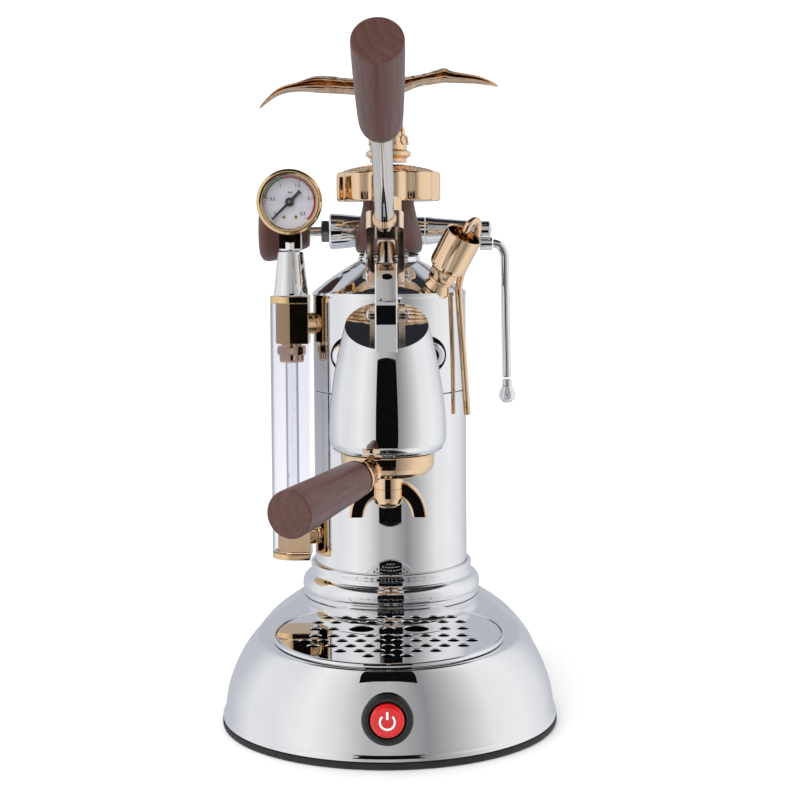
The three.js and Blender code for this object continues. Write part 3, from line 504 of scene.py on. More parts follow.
CHROME = polished("chrome", (0.87, 0.875, 0.89), 0.035)
NICKEL = polished("chrome_on_lever", (0.87, 0.82, 0.76), 0.06)
PALE = polished("rose_gold_on_fork", (0.93, 0.72, 0.55), 0.16)
GOLD = polished("rose_gold", GOLD_TINT, 0.06)
YELLOW = polished("rose_gold_on_fittings", (0.86, 0.6, 0.33), 0.06)
FEATHERS = feathered("rose_gold_on_finial", GOLD_TINT)
STEEL = brushed("steel", (0.5, 0.5, 0.51), (0, 0, 1))
DARK_STEEL = brushed("steel_on_nut", (0.2, 0.2, 0.21), (1, 0, 0), 0.25)
# Near-black chrome: painted shade for the dark inside the drip tray under the grille.
PAINTED_TRAY_SHADE = brushed("chrome_on_painted_tray_shade", (0.035, 0.034, 0.036), (0, 0, 1), 0.5)
BRASS = brushed("brass", (0.78, 0.55, 0.3), (0, 0, 1), 0.2)
BLACK = moulded("black_plastic", (0.012, 0.012, 0.013), 0.32, coat_weight=0.2, coat_roughness=0.15)
RUBBER = moulded("rubber", (0.013, 0.013, 0.014), 0.62, 0.06)
RED = lens_red()
DIAL = enamel("dial_white", (0.82, 0.8, 0.86))
INK = enamel("needle_black", (0.035, 0.038, 0.05))
PRINT_GREEN = enamel("dial_white_on_green_arc", (0.02, 0.25, 0.08))
PRINT_RED = enamel("dial_white_on_red_arc", (0.6, 0.03, 0.055))
SYMBOL = enamel("red_lens_on_symbol", (0.86, 0.85, 0.84))
CLEAR = glass("clear", (0.97, 0.98, 1.0), 0.015)
SHIELD = glass("clear_on_shield", (0.9, 0.895, 0.95), 0.02, 1.32)


# ---- Base -----------------------------------------------------------------------------------

AXIS_FRONT = -98  # where the base's half ellipse in front begins
BASE_LOW, BASE_HIGH, _ = corners("base_shell")
FOOT_WIDTH = BASE_HIGH.x
FOOT_DEPTH = AXIS_FRONT - BASE_LOW.y
FOOT_REAR = BASE_HIGH.y
SHELF = BASE_HIGH.z
TRAY_TOP = corners("drip_tray")[1].z
TRAY_Y = -115
GRILLE_LOW, GRILLE_HIGH, _ = corners("drip_grille")


def base_ring(z, width, depth, rear, steps=64):
    """One level of the base: half ellipse in front, gently tapering sides, half circle behind."""
    front = [(x * width, AXIS_FRONT + y * depth, z) for x, y in arc(1, 180, 360, steps)]
    side = 14
    flank = [(width + (rear - width) * (3 * t * t - 2 * t**3), AXIS_FRONT * (1 - t), z)
             for t in (i / side for i in range(1, side))]
    back = [(x, y, z) for x, y in arc(rear, 0, 180, steps)]
    return front + flank + back + [(-x, y, z) for x, y, z in reversed(flank)]


def base_levels(inset=0):
    """Height, half width, front depth and rear radius, from the foot's rolled edge up to the shelf."""
    foot = [(BASE_LOW.z + up, FOOT_WIDTH + out, FOOT_DEPTH + out, FOOT_REAR + out)
            for up, out in ((0, -0.7), (0.3, 0), (1.6, 0.2), (2.6, -0.1))]
    foot.append((BASE_LOW.z + 3.1, FOOT_WIDTH - 0.9, FOOT_DEPTH - 0.8, FOOT_REAR - 0.9))
    wall = smooth([(BASE_LOW.z + 3.9, FOOT_WIDTH - 1.3, FOOT_DEPTH - 1, FOOT_REAR - 1.4),
                   (20, 96.5, 90.2, 93.6), (30, 93.5, 89.7, 87.6), (40, 89, 89, 79), (46.5, 84.9, 88.5, 71),
                   (50.6, 81.8, 88, 65), (52.9, 79.6, 87.3, 61.6), (53.8, 78, 86.6, 60),
                   (SHELF, 76.4, 85.6, 59)], 6)
    return [(z - inset, w - inset, d - inset, r - inset) for z, w, d, r in foot + wall]


def tray_ring(radius, rear, z, steps=96):
    """The tray's round outline with its rear edge following the collar."""
    y = (TRAY_Y**2 - radius**2 + rear**2) / (2 * TRAY_Y)
    x = math.sqrt(rear**2 - y**2)
    front = math.degrees(math.atan2(y - TRAY_Y, x))
    back = math.degrees(math.atan2(y, x))
    outline = arc(radius, front, -180 - front, steps, (0, TRAY_Y))
    outline += arc(rear, -180 - back, back, steps // 3)[1:-1]
    return [(px, py, z) for px, py in outline]


def forward(name, node, profile, look, body, segments=COARSE, **how):
    """A piece spun about an axis along Y through the node's middle, counted from its front."""
    low, _, centre = corners(node)
    return make(name, placed(spin(profile, segments), at(centre.x, low.y, centre.z) @ ALONG_Y), look, body,
                node, **how)


def make_base():
    shell = solid("base_shell_skin", skin([base_ring(*level) for level in base_levels()]))
    inner = skin([base_ring(*level) for level in base_levels(1.6)])
    hole = skin([tray_ring(66, 60.6, z) for z in (SHELF - 8, SHELF + 4)])
    boiler_hole = rod(52, SHELF - 8, SHELF + 4)
    button_hole = placed(rod(12.9, 0, 20), at(0, -195, corners("power_button")[2].z) @ ALONG_Y)
    inlet_hole = placed(rod(7.3, 0, 20), at(0, 85, corners("cord_inlet")[2].z) @ ALONG_Y)
    cut(shell, inner, hole, boiler_hole, button_hole, inlet_hole)
    dress(shell, CHROME, "machine", "base_shell", sharp=50)

    top = corners("base_rim")[1].z
    rim = [(0.0, -0.9), (0.5, -0.1), (1.2, 0.3), (2.6, 0.4), (top - 0.4, 0.4), (top, 0.1), (top, -4.5),
           (0.4, -5), (0.0, -4.5)]
    rings = [base_ring(z, FOOT_WIDTH + d, FOOT_DEPTH + d, FOOT_REAR + d) for z, d in rim]
    make("base_rim_rubber", skin(rings, ends=False), RUBBER, "machine", "base_rim")
    make_button()
    make_inlet()


def make_inlet():
    sleeve = rounded([(3.4, 0), (6.8, 0), (6.8, 12.4), (9, 12.4, 0.4), (9, 14.6, 0.8), (7.6, 15.2, 0.4),
                      (7.2, 16.4, 0.3), (6.9, 16.4, 0.3), (6.7, 17.6, 0.3), (6.4, 17.6, 0.3),
                      (6.3, 18.8, 0.3), (6, 20, 0.6), (3.4, 20, 0.4)])
    forward("cord_inlet_sleeve", "cord_inlet", sleeve, BLACK, "machine")


def make_button():
    bezel = rounded([(10.2, 1.1, 0.3), (10.4, 0.35, 0.5), (12.2, 0, 1.4), (14.2, 0.9, 0.9), (14.2, 2.2, 0.3),
                     (12.6, 2.5), (12.2, 8.9), (10.2, 8.9)])
    forward("button_bezel_ring", "button_bezel", bezel, BLACK, "machine", FINE)
    lens = rounded([(0, 0), (7.6, 0.35, 3), (9.3, 0.9, 0.6), (9.5, 8), (0, 8)])
    low, _, centre = corners("power_button")
    forward("power_button_lens", "power_button", lens, RED, "button")
    gap, thick, proud = 42, 0.5, 0.18
    ring = arc(4.6, 90 - gap, gap - 270, 48) + arc(3.5, gap - 270, 90 - gap, 48)
    mark = joined(prism(ring, 0, thick), block((-0.62, 1.4, 0), (0.62, 5.6, thick)))
    stand = at(centre.x, low.y + thick - proud, centre.z - 0.3) @ STOOD_UP
    make("power_button_symbol", placed(mark, stand), SYMBOL, "button")


def drain_holes():
    pitch, small, big = 10.7, 3.4, 7.4
    middle = -107.6
    rows = [(-80.6, 8), (-92.2, 9), (-123.1, 9), (-133.8, 10), (-144.8, 9), (-155.2, 6), (-165.3, 3)]
    holes = [((i - (count - 1) / 2) * pitch, y, small) for y, count in rows for i in range(count)]
    holes += [(side * x, middle, r) for side in (-1, 1) for x, r in ((16.2, big), (33, small), (43.7, small))]
    return holes + [(0, middle, small)]


def make_tray():
    top = TRAY_TOP
    section = [(58, 67, 28), (63, 63.5, 28.3), (65.2, 61.8, 31), (65.4, 61.5, 34), (65.4, 61.5, 54.4),
               (67.4, 60.2, 54.4), (67.9, 59.8, 54.8), (68, 59.7, 55.5), (67.8, 59.8, top - 0.5),
               (67.4, 60, top - 0.1), (67, 60.3, top), (66.6, 60.7, top - 0.1), (66.35, 61, top - 0.5),
               (66.3, 61.1, 55.3), (64.4, 62.6, 55.2), (64.2, 62.7, 34), (63.6, 63.2, 31), (60, 66, 29.4),
               (56, 69, 29.3)]
    make("drip_tray_cup", skin([tray_ring(*level) for level in section]), CHROME, "tray", "drip_tray")

    # A near-black sheet inside the chrome tray: painted shade that makes the grille's holes look dark.
    shade_levels = [(60, 65.8, 29.5), (63.3, 63.6, 31.2), (63.9, 63, 34), (64.1, 62.9, 54), (63.5, 63.4, 54),
              (63.3, 63.6, 34.2), (62.8, 64, 31.8), (59.8, 66, 30.2)]
    make("drip_tray_painted_shade", skin([tray_ring(*level) for level in shade_levels]), PAINTED_TRAY_SHADE, "tray")

    low, high = GRILLE_LOW.z, GRILLE_HIGH.z
    edge = [(65.6, 61.9, low), (65.8, 61.8, low + 0.2), (65.8, 61.8, high - 0.35), (65.65, 61.9, high - 0.1),
            (65.4, 62.1, high)]
    plate = solid("drip_grille_plate", skin([tray_ring(*level) for level in edge]))
    flare = 0.42
    punches = [shifted(spin([(0, low - 2), (r, low - 2), (r, high - flare), (r + 0.12, high - 0.2),
                             (r + flare, high + 0.05), (r + flare, high + 2), (0, high + 2)], 40), x, y)
               for x, y, r in drain_holes()]
    cut(plate, joined(*punches))
    dress(plate, CHROME, "grille", "drip_grille", sharp=24)


# ---- Boiler ---------------------------------------------------------------------------------


def upright(name, node, profile, look, body, segments=FINE, **how):
    """A piece spun about the node's own vertical axis, with heights counted from its lowest point."""
    low, _, centre = corners(node)
    shape = shifted(spin(profile, segments), centre.x, centre.y, low.z)
    return make(name, shape, look, body, node, **how)


SHOULDER_Z = 248
# The boiler's outside, which everything mounted on it is cut back to.
BOILER_SHAPE = ((0, 60), (50.2, 60), (50.2, 252.9), (44.7, 257.5), (38.6, 262.1), (30.6, 267.1),
                (22.6, 271.7), (0, 274))


def make_boiler():
    low, high, _ = corners("boiler_lower")
    radius, tall, wall = high.x, high.z - low.z, 1.6
    lower = rounded([(27.3, 0), (radius, 0), (radius, tall - 0.1, 0.7), (radius - 0.8, tall, 0.2),
                     (radius - wall, tall), (radius - wall, 3), (27.3, 3)])
    upright("boiler_lower_drum", "boiler_lower", lower, CHROME, "machine")
    straight = SHOULDER_Z - corners("boiler_upper")[0].z
    cone = smooth([(48.6, straight + 5.7), (44.5, straight + 9), (38.4, straight + 13.6),
                   (30.4, straight + 18.8), (24.6, straight + 22.4), (21.4, straight + 24.2)], 5)
    neck = rounded([(20.4, straight + 24.6), (20.2, straight + 25.6, 0.3), (20.2, straight + 27.4, 0.5),
                    (15.3, straight + 27.5, 0.6), (15.3, straight + 23)])
    rim = rounded([(radius - 0.9, 0.0, 0.2), (radius, 0.1, 0.7), (radius, straight + 1.6, 0.8),
                   (radius + 0.5, straight + 3.0, 0.8), (radius + 0.1, straight + 5.3, 1.2)])
    inside = [(20.8, straight + 22), (29, straight + 17.4), (43, straight + 7.6), (48.2, straight + 3.5),
              (radius - wall, straight - 2), (radius - wall, 0.0)]
    upright("boiler_upper_drum", "boiler_upper", rim + cone + neck + inside, CHROME, "machine")
    collar = smooth([(57.2, 0.0), (57.6, 1.2), (56.6, 1.9), (56.7, 2.8), (57.9, 4.6), (58.2, 7.4),
                     (57.6, 10.2), (56.1, 12.4), (54.6, 13.4), (53.3, 14.2), (52.8, 15.4), (52.6, 17.2),
                     (52.9, 19.4), (52.9, 20.6), (52.3, 21.5), (51.2, 21.7)], 4)
    upright("boiler_collar_ring", "boiler_collar", collar + [(50.3, 21.6), (50.3, 0)], CHROME, "machine",
            sharp=55)


# ---- Filler cap -----------------------------------------------------------------------------


def lobes(radius, depth, count, steps=240):
    """A round outline with shallow grooves between broad lobes, as pairs of radius and angle."""
    turns = (math.tau * i / steps for i in range(steps))
    return [(radius - depth * abs(math.sin(count * a / 2)) ** 7, a) for a in turns]


def cast(name, shapes, *nodes):
    """Small raised parts of the cap, with painted shade in their hollows."""
    return make(name, joined(*shapes), FEATHERS, "cap", *nodes, sharp=60, weighted=False)


KNOB_R = 34


def make_knob():
    low, high, _ = corners("cap_knob")
    wall = high.z - low.z - 5.8
    rings = []
    for shrink, z in ((8, 1.4), (4, 0.3), (2.2, 0.0), (1.0, 0.2), (0.4, 0.8), (0.1, 1.6), (0.0, 2.8),
                      (0.0, wall - 3), (0.1, wall - 1.9), (0.5, wall - 1), (1.3, wall - 0.3), (2.6, wall),
                      (5, wall + 0.3)):
        rings.append([((r - shrink) * math.cos(a), (r - shrink) * math.sin(a), low.z + z)
                      for r, a in lobes(KNOB_R, 3.2 * max(0.0, 1 - shrink / 12), 8)])
    for share, drop in ((0.72, 3.6), (0.5, 1.8), (0.3, 0.8), (0.15, 0.3)):
        rings.append([(r * share * math.cos(a), r * share * math.sin(a), high.z - drop - 0.4)
                      for r, a in lobes(KNOB_R, 0, 8)])
    make("cap_knob_scalloped", skin(rings), GOLD, "cap", "cap_knob", sharp=40)
    scales = []
    rows = ((12.5, 20, 6.5, 2.1), (16, 25, 6.5, 2.2), (19.5, 30, 6.5, 2.3), (23, 35, 6.3, 2.3),
            (26.2, 39, 5.6, 2.3))
    for row, (radius, count, length, width) in enumerate(rows):
        for i in range(count):
            a = math.tau * (i + 0.5 * (row % 2)) / count + CHANCE.uniform(-0.015, 0.015)
            height = high.z - 1.1 - (radius / KNOB_R) ** 2 * 5.4
            lie = Matrix.Rotation(0.1 + 0.16 * radius / KNOB_R, 4, "Y")
            scales.append(placed(plume(length, width, 0.85, 6), Matrix.Rotation(a, 4, "Z")
                                 @ at(radius - length * 0.4, 0, height) @ lie))
    cast("cap_knob_leaves", scales)


def plume(length, width, thick, steps=9, across=6):
    """A feather lying along +X: a closed leaf with a raised quill and a rounded tip."""
    rings = []
    for i in range(steps + 1):
        s = i / steps
        half = width * (0.3 + 0.7 * math.sin(math.pi * min(0.5, s * 0.75))) * math.sqrt(max(0.02, 1 - s**3.2))
        body = thick * (1 - 0.55 * s)
        ring = []
        for k in range(across + 1):
            t = 2 * k / across - 1
            ring.append((length * s, half * t,
                         body * (1 - 0.7 * t * t) * 0.75 + (0.35 * body if t == 0 else 0)))
        ring += [(length * s, half * 0.6, -0.3 * thick), (length * s, -half * 0.6, -0.3 * thick)]
        rings.append(ring)
    return skin(rings)


# Each wing from the shoulder to the tip: distance out, lowest height, greatest height.
WINGS = {
    -1: ((4, 380, 391), (24, 381.6, 391.6), (45, 382.6, 394), (58, 384.2, 389.8), (72, 382, 385.4),
         (84.5, 372.6, 374.2)),
    1: ((4, 380, 391), (20, 386.8, 393), (31, 388.2, 396.2), (37, 389, 398.2), (42, 389, 395.8),
        (60, 388.4, 392.4), (72.4, 385.8, 387)),
}
WING_LINES = {side: smooth(table, 8) for side, table in WINGS.items()}


def wing_place(side, u, v, lift=0.0):
    """A point on a wing: u from shoulder to tip, v from front edge to rear, lift from low to high."""
    line = WING_LINES[side]
    u = min(max(u, 0.0), 1.0)
    out = line[0][0] + (line[-1][0] - line[0][0]) * u
    after = next((i for i, row in enumerate(line) if row[0] >= out), len(line) - 1)
    before = max(after - 1, 0)
    span = max(line[after][0] - line[before][0], 1e-6)
    share = min(max((out - line[before][0]) / span, 0.0), 1.0)
    low, high = (line[before][k] + (line[after][k] - line[before][k]) * share for k in (1, 2))
    half = (high - low) / 2 * math.sqrt(max(0.0, 1 - v * v * 0.96))
    chord = (17 * (1 - out / line[-1][0]) ** 0.55 + 2.4) * 0.96
    return Vector((side * out, chord * v + 7 * out / line[-1][0], (low + high) / 2 + half * lift * 0.94))


def wing_feather(side, u0, v0, u1, v1, width, lift, thick):
    """A feather laid on the wing from one place to another, curving with it."""
    rings = []
    steps = 12
    up = Vector((0, 0, 1 if lift >= 0 else -1))
    for i in range(steps + 1):
        s = i / steps
        near, here, ahead = (wing_place(side, u0 + (u1 - u0) * t, v0 + (v1 - v0) * t, lift)
                             for t in (s - 0.02, s, s + 0.02))
        along = (ahead - near).normalized()
        across = along.cross(up).normalized()
        half = width * (0.45 + 0.55 * math.sin(math.pi * min(0.5, s))) * math.sqrt(max(0.015, 1 - s**4))
        ring = []
        for k in range(7):
            t = k / 3 - 1
            ridge = 0.3 * thick if k == 3 else 0
            ring.append(here + across * half * t + up * (thick * (1 - 0.6 * t * t) * (1 - 0.35 * s) + ridge))
        ring += [here + across * half * 0.7 - up * 0.4 * thick, here - across * half * 0.7 - up * 0.4 * thick]
        rings.append(ring)
    return skin(rings)


def make_wing(side, name):
    stations, sides = 48, 20
    turns = [math.tau * i / sides for i in range(sides)]
    feathers = [skin([[wing_place(side, k / stations, 0.9 * math.cos(a), 0.78 * math.sin(a)) for a in turns]
                      for k in range(stations + 1)])]
    for face in (1, -1):
        # Long flight feathers fan towards the tip, and shorter rows overlap nearer the shoulder.
        for i in range(12):
            v = 0.96 - 1.92 * i / 11
            start, reach = 0.34 + 0.02 * (i % 3), 0.72 + 0.27 * (i / 11) ** 0.6
            feathers.append(wing_feather(side, start, v, reach, v * 0.96, 1.9, face * (0.8 + 0.012 * i), 0.7))
        rows = ((0.25, 13, 0.2, 0.86), (0.15, 13, 0.17, 0.9), (0.05, 12, 0.15, 0.94), (0.0, 11, 0.12, 0.97))
        for start, count, length, lift in rows:
            for i in range(count):
                v = -0.95 + 1.9 * i / (count - 1)
                u = start + CHANCE.uniform(-0.012, 0.012)
                feathers.append(wing_feather(side, u + 0.02, v, u + length, v, 1.7, face * lift, 0.75))
    cast(name, feathers, "cap_finial")


def ellipsoid(centre, size, tilt=0.0, segments=40):
    profile = [(math.sin(math.pi * i / 24), -math.cos(math.pi * i / 24)) for i in range(25)]
    ball = spin([(max(0.0, r) if 0 < i < 24 else 0.0, z) for i, (r, z) in enumerate(profile)], segments)
    shape = placed(ball, Matrix.Diagonal((*size, 1)))
    return placed(shape, Matrix.Translation(centre) @ turned(tilt, "X"))


def make_bird():
    """A plain bird of prey on its perch: body, breast feathers, head, beak and fanned tail."""
    z = corners("cap_finial")[0].z
    perch = rounded([(0, 0), (12.4, 0, 0.6), (11.6, 2.2, 0.8), (14.7, 4.2, 0.8), (14.7, 6.7, 1.1),
                     (12.2, 8.2, 0.8), (12.0, 14.2, 2), (10, 20.2, 3), (7, 25.2, 3), (5.5, 31.2, 1),
                     (0, 33.2)])
    make("cap_finial_perch", shifted(spin(perch, 96), 0, 0, z), GOLD, "cap")
    scales = []
    for row in range(5):
        for i in range(11 - row):
            a = math.tau * (i + 0.5 * (row % 2)) / (11 - row)
            hang = (Matrix.Rotation(a, 4, "Z") @ at(11.3 - 1.55 * row, 0, z + 17.5 + 4.4 * row)
                    @ turned(76, "Y"))
            scales.append(placed(plume(6.5, 3.2, 1.3, 7), hang))
    cast("cap_finial_scales", scales)
    body = ellipsoid((0, 2, z + 38.2), (8.5, 15, 10.6), -38)
    head = ellipsoid((0, -11, z + 52.2), (4.8, 6.0, 4.9), -8)
    neck = sweep([(0, -5, z + 44), (0, -8, z + 48), (0, -10.5, z + 51.5)], [7.2, 5.8, 4.6], 28)
    beak = smooth([(0, -15.8, z + 52.6), (0, -18.2, z + 52.2), (0, -19.4, z + 50.8), (0, -19.5, z + 49.6)], 4)
    beak = sweep(beak, [2.2 - 0.165 * i for i in range(13)], 16)
    trunk = solid("cap_finial_bird", body)
    fuse(trunk, neck, head, beak)
    dress(trunk, FEATHERS, "cap", sharp=50, weighted=False)
    plumes = []
    breast = at(0, 2, z + 38.2) @ turned(-38, "X")
    for row in range(6):
        count = 7 + (row % 2)
        slope = math.radians(-78 + 19 * row)
        for i in range(count):
            spread = math.radians(-62 + 124 * (i + 0.5 * (row % 2)) / (count - 0.5))
            place = at(8.6 * math.sin(spread), -12.384 * math.cos(spread) * math.cos(slope),
                       9.36 * math.sin(slope) * math.cos(spread))
            aim = Matrix.Rotation(math.pi / 2 + spread / 2, 4, "Z") @ turned(62, "Y")
            plumes.append(placed(plume(5.2, 1.9, 0.8, 6), breast @ place @ aim))
    for side in (-1, 1):
        plumes.append(ellipsoid((side * 3.4, -14.2, z + 53.6), (0.9, 0.9, 0.9), 0, 14))
    for i in range(7):
        fan = at(0, 9, z + 33.2 + 0.2 * i) @ turned(-40, "X") @ turned(120 - 10 * i, "Z")
        plumes.append(placed(plume(15, 2.8, 1.2), fan))
    cast("cap_finial_plumes", plumes)
    make_wing(1, "cap_finial_wing_right")
    make_wing(-1, "cap_finial_wing_left")


def make_cap():
    gasket = rounded([(15.4, 0, 0.3), (19.5, 0, 0.5), (19.5, 1.5, 0.5), (15.4, 1.5, 0.3)])
    upright("cap_gasket_ring", "cap_gasket", gasket, RUBBER, "cap_carrier", COARSE)
    plug = rounded([(0, 0), (13.2, 0, 0.6), (14.8, 1.6, 0.6), (14.8, 15.2), (5, 15.3), (5, 58), (0, 58)])
    upright("cap_plug_thread", "cap_plug", plug, BRASS, "cap", COARSE)
    low, high, centre = corners("cap_wood")
    tall = high.z - low.z
    outer = smooth([(18.6, 0.0), (20.6, 0.7), (21.7, 2.6), (22.1, 5.4), (21.9, 9), (20.9, 14), (19.4, 20),
                    (17.9, 26), (16.9, 31), (16.6, 34), (16.8, tall)], 6)
    grain = timber("wood_on_cap", centre, (0, 0, 1))
    upright("cap_wood_bell", "cap_wood", [(5.4, 0.0)] + outer + [(5.4, tall)], grain, "cap")
    make_knob()
    make_bird()


# ---- Group ----------------------------------------------------------------------------------

GROUP = corners("shower_screen")[2]  # the group's axis
FACE_SLOPE = 27
FACE_Z = 239
NECK_Z = 212
FULCRUM = pivot("lever_swing")
PISTON_PIN = corners("piston_pin")[2]
SPAN = (PISTON_PIN - FULCRUM).length
TILT = math.asin((PISTON_PIN.z - FULCRUM.z) / SPAN)


def slab(outline, width):
    """A Y-Z outline given to both sides of X = 0."""
    return skin([[(x, y, z) for y, z in outline] for x in (-width / 2, width / 2)])


def make_group():
    low = corners("group_body")[0].z
    outer = smooth([(34.1, low + 5.6), (34.5, low + 11), (34.1, low + 21), (32.9, low + 33), (30.8, low + 47),
                    (28, low + 61), (24.5, low + 75), (20.6, low + 89), (17.0, low + 99)], 7)
    lip = rounded([(26.3, low), (27.9, low, 0.4), (30.6, low + 0.7, 1.4), (33.2, low + 2.8, 2.2),
                   (34.1, low + 5.6)][:-1])
    bore = [(0, low + 99), (0, low + 56), (21, low + 56), (21, low + 9.1), (26.3, low + 9.1)]
    bell = solid("group_bell", shifted(spin(lip + outer + bore), GROUP.x, GROUP.y))
    above = placed(block((-60, -60, 0), (60, 60, 70)), at(0, GROUP.y, FACE_Z) @ turned(FACE_SLOPE, "X"))
    cut(bell, above, shifted(rod(5.8, 200, 270), 0, PISTON_PIN.y))
    bevel(bell, 0.45, 2, 40)
    dress(bell, CHROME, "machine", "group_body", sharp=40)

    width = 12.8
    fin = smooth([(-132.6, 252.6), (-133.3, 250), (-133.6, 246), (-134.1, 240.4), (-135.6, 233),
                  (-138.4, 224.5)], 5)
    fin = (rounded([(-121, 224), (-121, 274, 1.3), (-124, 274, 1.5), fin[0]])[:-1] + fin
           + [(-134.5, 218), (-121, 220)])
    plate = solid("group_fin", slab(fin, width))
    bevel(plate, 1.7, 4, 50)
    dress(plate, CHROME, "machine", sharp=40)
    top = arc(8.5, 0, 180, 28, (FULCRUM.y, FULCRUM.z))
    ear = [(-79.5, 226)] + top + [(-96.5, 232)]
    lug = solid("group_lug", slab(ear, width))
    cut(lug, placed(rod(2.8, -20, 20), Matrix.Translation(FULCRUM) @ ALONG_X))
    bevel(lug, 1.2, 3, 50)
    dress(lug, CHROME, "machine", sharp=40)

    neck = placed(spin(smooth([(0, 4), (17.9, 4), (17.9, 12), (17.9, 20), (18.2, 27), (19.6, 31), (21.5, 33),
                               (21.5, 34.5), (0, 34.6)], 3), COARSE), ALONG_Y)
    tube = solid("group_neck", shifted(neck, 0, -88, NECK_Z))
    flange = arc(12, -90, 90, 24, (24, NECK_Z + 3)) + arc(12, 90, 270, 24, (-24, NECK_Z + 3))
    plate = skin([[(x, y, z) for x, z in flange] for y in (-56, -44.4)])
    cut(fuse(tube, plate), rod(50.3, 150, 260, FINE))
    bevel(tube, 0.8, 3, 50)
    dress(tube, CHROME, "machine", sharp=40)

    for name in ("group_bolt_left", "group_bolt_right"):
        low, _, centre = corners(name)
        bolt = rounded([(0, 0), (4.6, 0.1, 2), (7.2, 1.3, 1.2), (8, 3.2, 0.5), (8, 5.2, 0.3), (3, 5.3)])
        place = at(centre.x, low.y, centre.z) @ ALONG_Y
        head = solid(name + "_head", placed(spin(bolt + [(3, 11.4), (0, 11.4)], COARSE), place))
        dress(cut(head, placed(hexagon(5, -1, 2.2), place)), CHROME, "machine", name)
    ring = rounded([(21.4, 0, 0.3), (25.6, 0, 0.5), (25.6, 2.5, 0.5), (21.4, 2.5, 0.3)])
    upright("group_gasket_ring", "group_gasket", ring, RUBBER, "machine", COARSE)
    make_screen()


def make_screen():
    low, _, centre = corners("shower_screen")
    disc = rounded([(0, 0), (20.6, 0, 0.5), (20.6, 1.4, 0.3), (0, 1.4)])
    screen = solid("shower_screen_plate", shifted(spin(disc, COARSE), centre.x, centre.y, low.z))
    holes = []
    for count, radius in ((6, 4), (12, 8), (18, 12), (24, 16)):
        for i in range(count):
            a = math.tau * i / count
            holes.append(shifted(rod(0.7, -1, 3, 10), centre.x + radius * math.cos(a),
                                 centre.y + radius * math.sin(a), low.z))
    cut(screen, joined(*holes))
    dress(screen, STEEL, "machine", "shower_screen")


# ---- Piston and lever -----------------------------------------------------------------------


def make_piston():
    low, high, centre = corners("piston_rod")
    radius = 5.3
    half = radius + 3.35  # the head is longer than it is wide
    plan = arc(radius, 0, 180, 24, (0, half - radius)) + arc(radius, 180, 360, 24, (0, radius - half))
    head_low = high.z - 20
    rings = []
    for inset, z in ((1.2, head_low), (0.3, head_low + 0.5), (0, head_low + 1.4), (0, high.z - 1.4),
                     (0.3, high.z - 0.4), (1.2, high.z)):
        scale = 1 - inset / radius
        rings.append([(x * scale, y * scale + centre.y, z) for x, y in plan])
    bar = solid("piston_rod_head", skin(rings))
    fuse(bar, shifted(rod(radius, low.z, head_low + 4), 0, PISTON_PIN.y))
    slot = [point for start, dy, dz in ((0, 2.95, 0.05), (90, -2.95, 0.05), (180, -2.95, -0.05),
                                        (270, 2.95, -0.05))
            for point in arc(3.3, start, start + 90, 8, (centre.y + dy, PISTON_PIN.z - 0.5 + dz))]
    cut(bar, slab(slot, 30))
    bevel(bar, 0.3, 2, 40)
    dress(bar, polished("steel_on_piston_rod", (0.62, 0.58, 0.54), 0.12), "piston", "piston_rod")
    body = rounded([(19, 0, 0.4), (20.3, 1.2, 0.4), (20.3, 5, 0.2), (17.4, 5), (17.4, 9), (20.3, 9, 0.2),
                    (20.3, 12.8, 0.4), (19, 14, 0.4)])
    upright("piston_head_body", "piston_head", [(0, 0)] + body + [(0, 14)], BRASS, "piston", COARSE)
    seal = rounded([(17.7, 0, 0.3), (20.6, 0, 0.8), (20.6, 3.4, 0.8), (17.7, 3.4, 0.3)])
    upright("piston_seal_ring", "piston_seal", seal, RUBBER, "piston", COARSE)


LEVER = Matrix.Translation(FULCRUM) @ Matrix.Rotation(-TILT, 4, "X")
ON_LEVER = LEVER @ STOOD_UP  # Z becomes the way from the fulcrum to the handle
FORK_HALF, FORK_SLOT, FORK_H = 10.6, 6.8, 5.2
FORK_SLOT_END, FORK_LENGTH = 62.7, 76.7
ROD_R = 5.4
HANDLE_START, LEVER_LENGTH = 174.5, 254


def make_fork():
    """Arms either side of the piston rod, joined in a block that holds the rod, in the lever's own frame."""
    outer = rounded([(-FORK_HALF, 8), (-FORK_HALF, -FORK_LENGTH, 4.2), (FORK_HALF, -FORK_LENGTH, 4.2),
                     (FORK_HALF, 8)], 8)
    inner = rounded([(FORK_SLOT, 8), (FORK_SLOT, -FORK_SLOT_END, 4.2), (-FORK_SLOT, -FORK_SLOT_END, 4.2),
                     (-FORK_SLOT, 8)], 8)
    fork = solid("lever_fork_arms", prism(outer + inner, -10, 10))
    end = 6.3  # the radius about the fulcrum
    start = math.degrees(math.asin(FORK_H / end))
    side = arc(end, start - 180, 180 - start, 44) + [(-FORK_LENGTH - 1, FORK_H), (-FORK_LENGTH - 1, -FORK_H)]
    combine(fork, slab(side, 40), "INTERSECT")
    holes = [placed(rod(2.75, -20, 20, 40), at(0, y, 0) @ ALONG_X) for y in (0, -SPAN)]
    tunnel = placed(spin([(0, FORK_SLOT_END - 4), (3.3, FORK_SLOT_END - 4), (3.3, FORK_LENGTH - 6),
                          (6.1, FORK_LENGTH + 0.5), (6.1, FORK_LENGTH + 3), (0, FORK_LENGTH + 3)], COARSE),
                    STOOD_UP)
    cut(fork, joined(*holes), tunnel)
    bevel(fork, 0.9, 3, 40)
    dress(moved(fork, LEVER), PALE, "lever", "lever_fork", sharp=40)
    sleeve = rounded([(3.4, FORK_LENGTH - 5), (5.9, FORK_LENGTH - 5), (6.7, FORK_LENGTH + 1.0, 0.6),
                      (6.2, FORK_LENGTH + 3.4, 0.8), (5.6, FORK_LENGTH + 6.5), (5.45, FORK_LENGTH + 6.5)])
    make("lever_rod_collar", placed(spin(sleeve, COARSE), ON_LEVER), GOLD, "lever")


